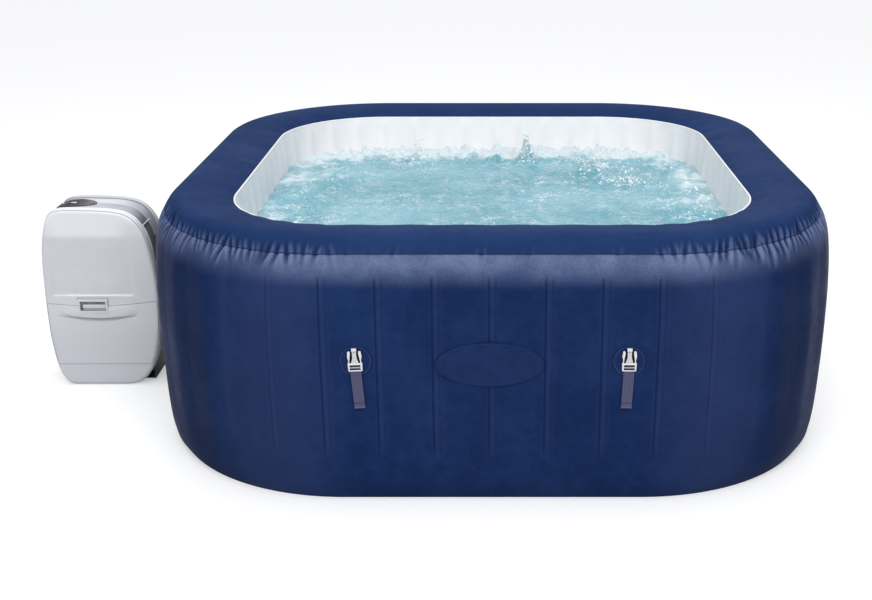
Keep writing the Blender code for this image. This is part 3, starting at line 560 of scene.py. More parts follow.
@dataclass(frozen=True)
class WallVinyl(Finish):
    """Laminated wall vinyl: mottled, with a fine woven grain, painted shade in the weld lines and a painted
    sheen on the shoulder.
    """

    deep: Colour = (0.0068, 0.0215, 0.083)
    light: Colour = (0.0125, 0.0330, 0.116)
    # The shoulder colour is a painted sheen, and the weld colour is painted shade in the weld-line grooves.
    shoulder: Colour = (0.140, 0.178, 0.315)
    weld: Colour = (0.0016, 0.0050, 0.024)
    shade: Colour = (0.0040, 0.0120, 0.048)
    sheen: Colour = (0.034, 0.050, 0.135)
    strip_highlight: Colour = (0.030, 0.052, 0.165)
    ridge: Colour = (0.150, 0.190, 0.350)
    line_strength: float = 0.50
    pitch: float = 0.1307
    line_shift: float = 0.0080
    weave_pitch: float = 900.0
    roughness: float = 0.42

    def lay(self, nodes: Nodes, place: Any) -> dict[str, Any]:
        """Lay the mottled colour, the painted shade and highlights, and the weave."""
        tone = nodes.group(mottle_group(), Place=place, Deep=self.deep, Light=self.light, Speckle=0.25)
        height = nodes.parts(place)[2]
        flat = nodes.parts(nodes.add("VectorMath", {0: place}, operation="ABSOLUTE").outputs[0])
        inward = nodes.sum("MINIMUM", flat[0], flat[1])
        corner = nodes.fade(inward, 0.42, 0.62)
        lines, beside = self.weld_shade_and_highlight(nodes, height, corner)
        bright = nodes.times(nodes.fade(inward, 0.34, 0.50), nodes.fade(inward, 0.70, 0.56))
        turned = nodes.sum("MAXIMUM", nodes.fade(inward, 0.60, 0.76), nodes.fade(flat[0], 0.74, 0.88))
        crown = self.crown(nodes, place, height, corner)
        # Painted light and shade, in order: a highlight beside each weld pair, a sheen band where the corners
        # start, shade on the sides turned away, the shoulder's sheen, shade in the weld-line grooves and the
        # gathers' hollows, and highlights on the gathers' ridges.
        colour = nodes.layers(tone["Colour"], (self.strip_highlight, beside, 0.22), (self.sheen, bright, 0.38),
                              (self.shade, turned, 0.64), (self.shoulder, crown, 1.05),
                              (self.weld, lines, self.line_strength), (self.deep, nodes.mark("dent"), 0.75),
                              (self.ridge, nodes.mark("ridge"), 0.80))
        dull = nodes.fade(tone["Share"], 0.0, 1.0, self.roughness + 0.05, self.roughness - 0.05)
        return {"Base Color": colour, "Roughness": dull, "Specular IOR Level": 0.03,
                "Normal": nodes.bump(self.weave(nodes, place), 0.30, 0.0010)}

    def weld_shade_and_highlight(self, nodes: Nodes, height: Any, corner: Any) -> tuple[Any, Any]:
        """Masks of the painted shade in the weld-line grooves, and of the painted highlight on the band at
        each pair of them.
        """
        run, half = nodes.times(nodes.chart()[0], self.pitch), 0.5 * self.pitch
        side = nodes.sum("WRAP", run, half, -half)
        sharp = nodes.near(side, -self.line_shift, 0.0038, 0.0012)
        soft = nodes.times(nodes.near(side, self.line_shift, 0.0055, 0.0010), 0.45)
        ends = nodes.times(nodes.fade(height, 0.10, 0.16), nodes.fade(height, 0.578, 0.560))
        shown = nodes.sum("MULTIPLY_ADD", corner, -0.92, 1.0)
        beside = nodes.fade(nodes.sum("PINGPONG", run, half), 0.0200, 0.0070)
        return nodes.times(nodes.sum("MAXIMUM", sharp, soft), ends, shown), nodes.times(beside, ends)

    def crown(self, nodes: Nodes, place: Any, height: Any, corner: Any) -> Any:
        """Mask of the painted sheen on the shoulder, broken up by patches and a painted glitter."""
        patches = nodes.fade(nodes.cloud(place, 9.0, 5.0, 0.6), 0.30, 0.70, 0.50, 1.0)
        glitter = nodes.fade(nodes.cloud(place, 520.0, 3.0, 0.8), 0.35, 0.65, 0.60, 1.35)
        straight = nodes.sum("MULTIPLY_ADD", corner, -0.45, 1.0)
        return nodes.times(nodes.fade(height, 0.540, 0.606), straight, patches, glitter)

    def weave(self, nodes: Nodes, place: Any) -> Socket:
        """Height of the scrim's faint diamond weave under the vinyl, with soft creases."""
        x, y, z = nodes.parts(place)
        along = nodes.sum("ADD", x, y)
        waves = [nodes.sum("SINE", nodes.times(nodes.sum(how, along, z), self.weave_pitch))
                 for how in ("ADD", "SUBTRACT")]
        return nodes.sum("MULTIPLY_ADD", nodes.cloud(place, 55.0, 4.0, 0.6), 1.2, nodes.times(*waves, 0.10))


@dataclass(frozen=True)
class SoftVinyl(Finish):
    """Plain soft vinyl with a slight mottle and fine creases; where gathered, painted shade in the hollows
    and painted highlights on the ridges.
    """

    deep: Colour = (0.020, 0.042, 0.135)
    light: Colour = (0.028, 0.056, 0.170)
    ridge: Colour = (0.110, 0.145, 0.300)
    roughness: float = 0.46
    crease: float = 0.20
    gloss: float = 0.40
    gathered: bool = False
    fold: float = 0.60

    def lay(self, nodes: Nodes, place: Any) -> dict[str, Any]:
        """Lay the colour and the creases."""
        tone = nodes.group(mottle_group(), Place=place, Deep=self.deep, Light=self.light, Speckle=0.12)
        fine = nodes.times(nodes.cloud(place, 700.0, 2.0), 0.15)
        creases = nodes.sum("ADD", nodes.cloud(place, 24.0, 4.0, 0.6), fine)
        colour = tone["Colour"]
        # Painted shade in the gathers' hollows and painted highlights on their ridges.
        if self.gathered:
            hollow = tuple(0.4 * part for part in self.deep)
            colour = nodes.layers(colour, (hollow, nodes.mark("dent"), self.fold),
                                  (self.ridge, nodes.mark("ridge"), 0.60))
        dull = nodes.fade(tone["Share"], 0.0, 1.0, self.roughness + 0.04, self.roughness - 0.04)
        return {"Base Color": colour, "Roughness": dull, "Specular IOR Level": self.gloss,
                "Normal": nodes.bump(creases, self.crease, 0.0020)}


@dataclass(frozen=True)
class Moulded(Finish):
    """Injection-moulded plastic with a fine grain, slight tone drift, and paler outer edges that are both
    worn and a painted highlight.
    """

    colour: Colour = (0.56, 0.57, 0.62)
    roughness: float = 0.38
    grain: float = 0.10
    drift: float = 0.06
    rubbed_and_highlight: Colour = (0.75, 0.76, 0.80)
    wear_and_highlight: float = 0.25
    gloss: float = 0.5

    def tinted(self, nodes: Nodes, place: Any, colour: Any) -> Any:
        """Colour with a piece's own shading laid over it; plain pieces have none."""
        return colour

    def lay(self, nodes: Nodes, place: Any) -> dict[str, Any]:
        """Lay the tone, the grain and the paler outer edges, worn and painted highlight."""
        deep, light = (tuple(min(1.0, part * (1.0 + drift)) for part in self.colour)
                       for drift in (-self.drift, self.drift))
        tone = nodes.group(mottle_group(), Place=place, Deep=deep, Light=light, Speckle=0.05)
        grain = nodes.group(grain_group(), Place=place, Scale=900.0)
        rub_and_highlight = nodes.group(worn_and_highlit_edges_group(), Place=place)
        colour = nodes.layers(tone["Colour"], (self.rubbed_and_highlight, rub_and_highlight["Mask"], self.wear_and_highlight))
        dull = nodes.fade(tone["Share"], 0.0, 1.0, self.roughness - 0.04, self.roughness + 0.04)
        return {"Base Color": self.tinted(nodes, place, colour), "Roughness": dull,
                "Specular IOR Level": self.gloss, "Normal": nodes.bump(grain["Height"], self.grain, 0.0006)}


@dataclass(frozen=True)
class Mouth:
    """Arched lip across the lower part of the pump's near face."""

    middle: float = -1.149
    half: float = 0.122
    low: float = 0.2125
    rise: float = 0.0145


MOUTH = Mouth()


@dataclass(frozen=True)
class CoverFace(Moulded):
    """Near cover's plastic: painted light above, a painted highlight on the ledge, painted shade low down,
    under the lip and in the groove.
    """

    # Painted light and shade: upper is light where the face tips up, ledge a highlight, lower shade low down
    # and in the dish, under the shadow below the lip, groove shade in the rim groove.
    upper: Colour = (0.825, 0.830, 0.860)
    lower: Colour = (0.600, 0.610, 0.655)
    ledge: Colour = (0.90, 0.905, 0.94)
    under: Colour = (0.330, 0.330, 0.370)
    groove: Colour = (0.200, 0.200, 0.225)
    groove_row: float = 7.5 / 109.0

    def tinted(self, nodes: Nodes, place: Any, colour: Any) -> Any:
        """Lay the painted light, highlight and shade of the fields, the ledge, the crescent and the groove
        over the plain tone.
        """
        x, _, z = nodes.parts(place)
        middle = nodes.times(nodes.fade(z, 0.448, 0.470), nodes.near(x, -1.160, 0.125, 0.075, 0.45, 1.0))
        across = nodes.times(nodes.fade(x, -1.278, -1.268), nodes.fade(x, -1.038, -1.048))
        dish = nodes.times(nodes.fade(z, 0.325, 0.2850), nodes.fade(z, 0.2830, 0.2845), across)
        line = nodes.times(nodes.near(z, 0.2824, 0.0028, 0.0012), across)
        rim = nodes.near(nodes.chart()[1], self.groove_row, 0.0100, 0.0050)
        return nodes.layers(colour, (self.upper, middle, 1.0), (self.upper, nodes.fade(z, 0.480, 0.515), 1.0),
                            (self.lower, nodes.fade(z, 0.235, 0.130), 1.0), (self.lower, dish, 0.35),
                            (self.ledge, line, 0.75), (self.under, self.crescent(nodes, x, z), 0.80),
                            (self.groove, nodes.times(rim, nodes.fade(x, -1.290, -1.260)), 1.0))

    def crescent(self, nodes: Nodes, x: Any, z: Any) -> Any:
        """Mask of the shade under the arched lip."""
        share = nodes.sum("DIVIDE", nodes.sum("SUBTRACT", x, MOUTH.middle), MOUTH.half)
        arc = nodes.sum("MULTIPLY_ADD", nodes.times(share, share), MOUTH.rise, MOUTH.low)
        below = nodes.sum("SUBTRACT", nodes.sum("SUBTRACT", arc, z), 0.0045)
        depth = nodes.near(share, 0.0, 1.0, 0.2, 0.0012, 0.0085)
        band = nodes.sum("DIVIDE", nodes.sum("ABSOLUTE", below), depth)
        return nodes.times(nodes.fade(band, 1.0, 0.35), nodes.near(share, 0.0, 1.02, 0.85))


@dataclass(frozen=True)
class CoverTop(Moulded):
    """Top cover's plastic with painted light and shade: a far half painted lighter, and painted shade
    deepening towards the notch.
    """

    far_light: Colour = (0.70, 0.705, 0.725)
    far_shade: Colour = (0.250, 0.250, 0.285)
    near_half_shade: Colour = (0.400, 0.400, 0.460)
    near_shade: Colour = (0.085, 0.085, 0.110)

    def tinted(self, nodes: Nodes, place: Any, colour: Any) -> Any:
        """Lay the halves' own shading over the plain tone."""
        x, y, _ = nodes.parts(place)
        near = nodes.fade(y, -0.0895, -0.0915)
        far = nodes.sum("SUBTRACT", 1.0, near)
        return nodes.layers(colour, (self.far_light, nodes.times(far, nodes.fade(x, -1.040, -1.110)), 1.0),
                            (self.far_shade, nodes.times(far, nodes.fade(x, -1.075, -0.995)), 0.75),
                            (self.near_half_shade, nodes.times(near, nodes.fade(x, -1.150, -1.060)), 0.80),
                            (self.near_shade, nodes.times(near, nodes.fade(x, -1.060, -1.006)), 0.85))


@dataclass(frozen=True)
class CoreSide(Moulded):
    """Core's plastic, with painted light towards the top."""

    upper: Colour = (0.170, 0.170, 0.180)

    def tinted(self, nodes: Nodes, place: Any, colour: Any) -> Any:
        """Lay the painted lighter tone over the upper end."""
        return nodes.blend(nodes.fade(nodes.parts(place)[2], 0.300, 0.460), colour, self.upper)


@dataclass(frozen=True)
class LensFace(Moulded):
    """Dark lens with a lit bar behind its right-hand half."""

    lit: Colour = (0.85, 0.87, 0.88)

    def tinted(self, nodes: Nodes, place: Any, colour: Any) -> Any:
        """Lay the lit bar."""
        x, y, _ = nodes.parts(place)
        tall = nodes.near(y, -0.0920, 0.0048, 0.0036)
        return nodes.blend(nodes.times(nodes.fade(x, -1.2210, -1.2195), tall), colour, self.lit)


@dataclass(frozen=True)
class PanelFace(Moulded):
    """Black control panel whose end away from the display is dotted grey."""

    dots: Colour = (0.300, 0.300, 0.310)

    def tinted(self, nodes: Nodes, place: Any, colour: Any) -> Any:
        """Lay the dots, denser towards the panel's point."""
        values = {"Vector": place, "Scale": 330.0, "Randomness": 0.2}
        cells = nodes.add("TexVoronoi", values).outputs["Distance"]
        spots = nodes.times(nodes.fade(cells, 0.50, 0.36), nodes.fade(nodes.parts(place)[0], -1.212, -1.160))
        return nodes.layers(colour, (self.dots, spots, 0.75))


@dataclass(frozen=True)
class Webbing(Finish):
    """Woven strap with ribs along its length and paler threads."""

    deep: Colour = (0.022, 0.026, 0.070)
    light: Colour = (0.120, 0.125, 0.235)
    ribs: float = 9.0
    pick: float = 0.0024
    hem: float = 0.2705

    def lay(self, nodes: Nodes, place: Any) -> dict[str, Any]:
        """Lay the ribs across u and the picks along v, both in the strap's own UV map."""
        u, v, _ = nodes.chart()
        rib = nodes.sum("ABSOLUTE", nodes.sum("SINE", nodes.times(u, math.pi * self.ribs)))
        picks = nodes.sum("SINE", nodes.times(v, FULL_TURN / self.pick))
        picks = nodes.sum("MULTIPLY_ADD", picks, 0.5, 0.5)
        height = nodes.times(rib, nodes.sum("MULTIPLY_ADD", picks, 0.4, 0.6))
        share = nodes.times(height, nodes.fade(nodes.cloud(place, 900.0, 2.0), 0.2, 0.8, 0.6, 1.0))
        level = nodes.parts(place)[2]
        below = nodes.fade(level, self.hem - 0.007, self.hem - 0.009)
        colour = nodes.layers(self.deep, (self.light, share, 1.0),
                              (self.deep, nodes.near(level, self.hem, 0.0024, 0.0008), 0.85),
                              (self.light, below, 0.5))
        return {"Base Color": colour, "Roughness": 0.82, "Sheen Weight": 0.35,
                "Normal": nodes.bump(height, 0.6, 0.0006)}


@dataclass(frozen=True)
class AeratedWater(Finish):
    """Turquoise water full of air, white where the foam attribute is high."""

    deep: Colour = (0.120, 0.355, 0.430)
    light: Colour = (0.260, 0.500, 0.590)
    foam: Colour = (0.82, 0.87, 0.89)

    def lay(self, nodes: Nodes, place: Any) -> dict[str, Any]:
        """Lay the water's tones, its foam and its ripples."""
        froth = nodes.mark("froth")
        tone = nodes.group(mottle_group(), Place=place, Deep=self.deep, Light=self.light, Speckle=0.2)
        values = {"Vector": place, "Scale": 95.0}
        lace = nodes.fade(nodes.add("TexVoronoi", values, feature="DISTANCE_TO_EDGE").outputs[0], 0.13, 0.02)
        specks = nodes.fade(nodes.cloud(place, 62.0, 6.0, 0.72), 0.54, 0.68)
        streaks = nodes.fade(nodes.cloud(place, 17.0, 5.0, 0.62), 0.50, 0.66)
        white = nodes.sum("MAXIMUM", nodes.times(lace, streaks), nodes.times(specks, 0.9))
        share = nodes.times(white, nodes.fade(froth, 0.10, 0.75, 0.25, 1.0))
        share = nodes.sum("MAXIMUM", share, nodes.fade(froth, 0.62, 1.05, 0.0, 0.80))
        small = nodes.times(nodes.cloud(place, 150.0, 3.0, 0.6), 0.35)
        ripples = nodes.sum("ADD", nodes.cloud(place, 48.0, 5.0, 0.65), small)
        return {"Base Color": nodes.blend(share, tone["Colour"], self.foam), "IOR": WATER_IOR,
                "Roughness": nodes.sum("MULTIPLY_ADD", share, 0.40, 0.08),
                "Normal": nodes.bump(ripples, 0.70, 0.0090)}


@dataclass(frozen=True)
class Droplet(Finish):
    """White froth and drops thrown up by the air."""

    deep: Colour = (0.78, 0.88, 0.90)
    light: Colour = (0.97, 0.98, 0.99)

    def lay(self, nodes: Nodes, place: Any) -> dict[str, Any]:
        """Lay a bright wet white with a blue tint that drifts."""
        share = nodes.fade(nodes.cloud(place, 30.0, 3.0), 0.3, 0.7)
        colour = nodes.blend(share, self.deep, self.light)
        return {"Base Color": colour, "Roughness": 0.12, "Coat Weight": 0.5, "IOR": WATER_IOR}


@dataclass(frozen=True)
class Metal(Finish):
    """Brushed or cast metal."""

    colour: Colour = (0.60, 0.61, 0.62)
    roughness: float = 0.30
    brush: tuple[float, float, float] = (12.0, 400.0, 400.0)

    def lay(self, nodes: Nodes, place: Any) -> dict[str, Any]:
        """Lay fine brush lines in the roughness."""
        lines = nodes.add("Mapping", {"Vector": place, "Scale": self.brush}).outputs[0]
        tone = nodes.group(mottle_group(), Place=place, Deep=tuple(0.8 * part for part in self.colour),
                           Light=self.colour, Speckle=0.1)
        brushed = nodes.cloud(lines, 1.0, 3.0)
        dull = nodes.fade(brushed, 0.2, 0.8, self.roughness - 0.08, self.roughness + 0.12)
        return {"Base Color": tone["Colour"], "Metallic": 1.0, "Roughness": dull}


WALL = WallVinyl("wall_vinyl")
RIM = SoftVinyl("rim_vinyl", deep=(0.0120, 0.0320, 0.108), light=(0.0150, 0.0390, 0.128), roughness=0.65,
                gloss=0.03, gathered=True)
SEAM = SoftVinyl("seam_vinyl", deep=(0.0085, 0.0230, 0.082), light=(0.0120, 0.0310, 0.104), roughness=0.50,
                 gloss=0.05)
BASE = SoftVinyl("base_vinyl", deep=(0.008, 0.016, 0.055), light=(0.012, 0.024, 0.075), roughness=0.55)
LINER = SoftVinyl("liner_vinyl", deep=(0.94, 0.92, 0.93), light=(0.97, 0.95, 0.96), roughness=0.42,
                  crease=0.14, gathered=True, fold=0.07)
PATCH = SoftVinyl("patch_vinyl", deep=(0.0060, 0.0200, 0.082), light=(0.0100, 0.0280, 0.106), roughness=0.40,
                  gloss=0.08)
WEB = SoftVinyl("web_sheet", deep=(0.35, 0.35, 0.37), light=(0.42, 0.42, 0.44))
BADGE = SoftVinyl("badge_vinyl", deep=(0.0070, 0.0210, 0.080), light=(0.0105, 0.0280, 0.106), roughness=0.38,
                  gloss=0.08)
# The ribs' paler navy is a painted highlight on the raised welds.
HIGHLIT_RIB = SoftVinyl("weld_rib_vinyl", deep=(0.030, 0.050, 0.130), light=(0.045, 0.068, 0.165), roughness=0.36,
                gloss=0.2)
WHITE_BUCKLE = Moulded("buckle_plastic", colour=(0.74, 0.74, 0.78), roughness=0.34)
GUIDE_BUCKLE = Moulded("buckle_guide_plastic", colour=(0.60, 0.60, 0.62), roughness=0.40)
BAR_BUCKLE = Moulded("buckle_bar_plastic", colour=(0.24, 0.22, 0.29), roughness=0.45)
# A near-black backing behind the buckle's slots and gaps: painted shade.
SHADE_BACKING_BUCKLE = Moulded("buckle_shade_backing", colour=(0.004, 0.005, 0.012), roughness=0.70, gloss=0.1, wear_and_highlight=0.0)
COVER = {"grain": 0.06, "wear_and_highlight": 0.12}
CASING = Moulded("casing_plastic", colour=(0.58, 0.585, 0.630), roughness=0.36, drift=0.025, **COVER)
FACE = CoverFace("near_face_plastic", colour=(0.645, 0.655, 0.690), roughness=0.36, drift=0.025, **COVER)
TOP = CoverTop("top_cover_plastic", colour=(0.50, 0.505, 0.560), roughness=0.34, drift=0.03, **COVER)
# The latch plate's dark grey is painted shade inside the latch window.
SHADED = Moulded("latch_plastic", colour=(0.200, 0.200, 0.215), roughness=0.45, gloss=0.2)
CORE = CoreSide("core_plastic", colour=(0.040, 0.042, 0.050), roughness=0.42, rubbed_and_highlight=(0.12, 0.12, 0.13))
PANEL = PanelFace("panel_gloss", colour=(0.004, 0.004, 0.006), roughness=0.30, grain=0.02, wear_and_highlight=0.0,
                  gloss=0.06)
LENS = LensFace("lens", colour=(0.008, 0.008, 0.010), roughness=0.20, grain=0.0, wear_and_highlight=0.0, gloss=0.2)
LAMP = Moulded("power_button_plastic", colour=(0.70, 0.71, 0.73), roughness=0.30, gloss=0.2)
BUTTON = Moulded("button_plastic", colour=(0.055, 0.055, 0.062), roughness=0.40, rubbed_and_highlight=(0.2, 0.2, 0.2),
                 gloss=0.15)
DARK_FITTING = Moulded("fitting_plastic", colour=(0.115, 0.12, 0.135), roughness=0.42,
                       rubbed_and_highlight=(0.25, 0.25, 0.27))
WHITE_FITTING = Moulded("white_fitting", colour=(0.72, 0.73, 0.75), roughness=0.34)
PAPER = Moulded("filter_paper", colour=(0.78, 0.80, 0.82), roughness=0.9, grain=0.5, wear_and_highlight=0.0)
MOTOR = Moulded("motor_shell", colour=(0.055, 0.060, 0.066), roughness=0.45)
ROTOR = Moulded("rotor_plastic", colour=(0.60, 0.61, 0.64), roughness=0.40)
BOARD = Moulded("board", colour=(0.020, 0.150, 0.060), roughness=0.35, rubbed_and_highlight=(0.45, 0.36, 0.12), wear_and_highlight=0.4)
RUBBER = Moulded("gland_rubber", colour=(0.028, 0.028, 0.032), roughness=0.72, rubbed_and_highlight=(0.08, 0.08, 0.08))
STRAP = Webbing("webbing")
WATER = AeratedWater("aerated_water")
DROPS = Droplet("drops")
STEEL = Metal("heater_steel")


# ---- tub


def bezier(start: Point, first: Point, second: Point, end: Point, steps: int) -> list[Point]:
    """Points along a cubic curve.

    Args:
        start: First end.
        first: Handle of the first end.
        second: Handle of the second end.
        end: Second end.
        steps: Spans along the curve.

    Returns:
        The points, both ends included.
    """
    share = np.linspace(0.0, 1.0, steps + 1)
    rest = 1.0 - share
    weights = np.stack([rest ** 3, 3.0 * rest ** 2 * share, 3.0 * rest * share ** 2, share ** 3], axis=1)
    return [tuple(point) for point in (weights @ np.array([start, first, second, end])).tolist()]


class Side(Enum):
    """The tub's four sides, by the quarter turns from the front."""

    FRONT = 0
    RIGHT = 1
    BACK = 2
    LEFT = 3


@dataclass
class TubForm:
    """The tub's driving sizes, and the places that they give."""

    half: float = 0.9000
    corner_centre: float = 0.3624
    chambers: int = 48
    base: Point = (0.8630, 0.0)
    bulge: Point = (0.9000, 0.3190)
    outer_seam: Point = (0.8596, 0.6223)
    crest: Point = (0.8133, 0.6602)
    inner_seam: Point = (0.6792, 0.6329)
    inner_bulge: Point = (0.6640, 0.3000)
    inner_foot: Point = (0.6800, 0.0035)

    @property
    def side(self) -> float:
        """Length of one side and its corner along the widest line."""
        return 2.0 * self.corner_centre + QUARTER_TURN * (self.half - self.corner_centre)

    @property
    def pitch(self) -> float:
        """Distance between two pairs of weld lines."""
        return 4.0 * self.side / self.chambers

    def outer_line(self) -> list[Point]:
        """Outer wall's section from the ground to the outer seam."""
        (foot, low), (wide, middle), (seam, high) = self.base, self.bulge, self.outer_seam
        lower = bezier(self.base, (foot + (wide - foot) * 0.7, low), (wide, middle * 0.45), self.bulge, 24)
        upper = bezier(self.bulge, (wide, middle + (high - middle) * 0.5),
                       (wide - (wide - seam) * 0.15, high - 0.03), self.outer_seam, 24)
        return lower + upper[1:]

    def top_line(self) -> list[Point]:
        """Top panel's section from the outer seam over the crest to the inner seam."""
        (seam, low), (top, high), (inner, end) = self.outer_seam, self.crest, self.inner_seam
        rise = bezier(self.outer_seam, (seam - (seam - top) * 0.4, low + (high - low) * 0.9),
                      (top + (seam - top) * 0.3, high), self.crest, 12)
        fall = bezier(self.crest, (top - (top - inner) * 0.5, high), (inner + 0.01, end + (high - end) * 0.6),
                      self.inner_seam, 20)
        return rise + fall[1:]

    def inner_line(self) -> list[Point]:
        """Inner wall's section from the inner seam down to the floor."""
        (seam, high), (bulge, _), (foot, low) = self.inner_seam, self.inner_bulge, self.inner_foot
        upper = bezier(self.inner_seam, (seam - 0.008, high - 0.1), (bulge, 0.42), self.inner_bulge, 20)
        lower = bezier(self.inner_bulge, (bulge, 0.16), (foot - 0.006, low + 0.03), self.inner_foot, 20)
        return upper + lower[1:]

    def columns(self, fine: int = 9, coarse: int = 19) -> Array:
        """Distances round the tub, close together at the weld lines.

        Args:
            fine: Columns near a pair of lines.
            coarse: Columns across the panel between two pairs.

        Returns:
            Distances from the middle of the front, once round.
        """
        near = np.linspace(-0.125, 0.125, fine)
        between = np.linspace(0.125, 0.875, coarse + 2)[1:-1]
        one = np.concatenate([near, between])
        every = (np.arange(self.chambers)[:, None] + one).ravel()
        return np.append(every, every[0] + self.chambers) * self.pitch

    def place(self, distance: Array, reach: Array, height: Array) -> Array:
        """Places at distances round the tub, for a section's reach and height.

        Args:
            distance: Distance round from the middle of the front, towards the right.
            reach: Distance from the middle plane, square to the wall.
            height: Height over the ground.

        Returns:
            Places, with 3 coordinates last.
        """
        distance, reach, height = np.broadcast_arrays(distance, reach, height)
        quarter = np.floor(distance / self.side + 0.5)
        along = distance - quarter * self.side
        centre = self.corner_centre
        angle = np.sign(along) * np.maximum(np.abs(along) - centre, 0.0) / (self.half - centre)
        x = np.clip(along, -centre, centre) + np.sin(angle) * (reach - centre)
        y = -centre - np.cos(angle) * (reach - centre)
        cos, sin = np.cos(quarter * QUARTER_TURN), np.sin(quarter * QUARTER_TURN)
        return np.stack([x * cos - y * sin, x * sin + y * cos, height], axis=-1)

    def corner_share(self, distance: Array) -> Array:
        """How far a place is into a corner: 0 on the straight sides, 1 well inside a corner."""
        along = distance - np.floor(distance / self.side + 0.5) * self.side
        return ramp_between(np.abs(along), self.corner_centre - 0.06, self.corner_centre + 0.16)


def spaced(line: Sequence[Point], stations: Array) -> tuple[Array, Array, float]:
    """A section line resampled at stations from 0 to 1 along its length.

    Args:
        line: The section's points.
        stations: Shares of its length.

    Returns:
        The resampled points, their outward normals (left of an upward line), and the line's length.
    """
    points = np.array(line)
    run = np.concatenate([[0.0], np.cumsum(np.hypot(*np.diff(points, axis=0).T))])
    where = stations * run[-1]
    laid = np.stack([np.interp(where, run, points[:, i]) for i in (0, 1)], axis=1)
    tangent = np.gradient(laid, axis=0)
    tangent /= np.maximum(np.hypot(tangent[:, 0], tangent[:, 1]), 1e-9)[:, None]
    return laid, np.stack([tangent[:, 1], -tangent[:, 0]], axis=1), float(run[-1])


def sunk(laid: Array, normal: Array, inward: Array) -> tuple[Array, Array]:
    """Reach and height of a section's points, moved inwards by rows and columns."""
    return laid[:, :1] - inward * normal[:, :1], laid[:, 1:] - inward * normal[:, 1:]


@dataclass
class Pucker:
    """One gather across the outer seam."""

    at: float
    depth: float
    width: float
    below: float
    above: float
    lean: float


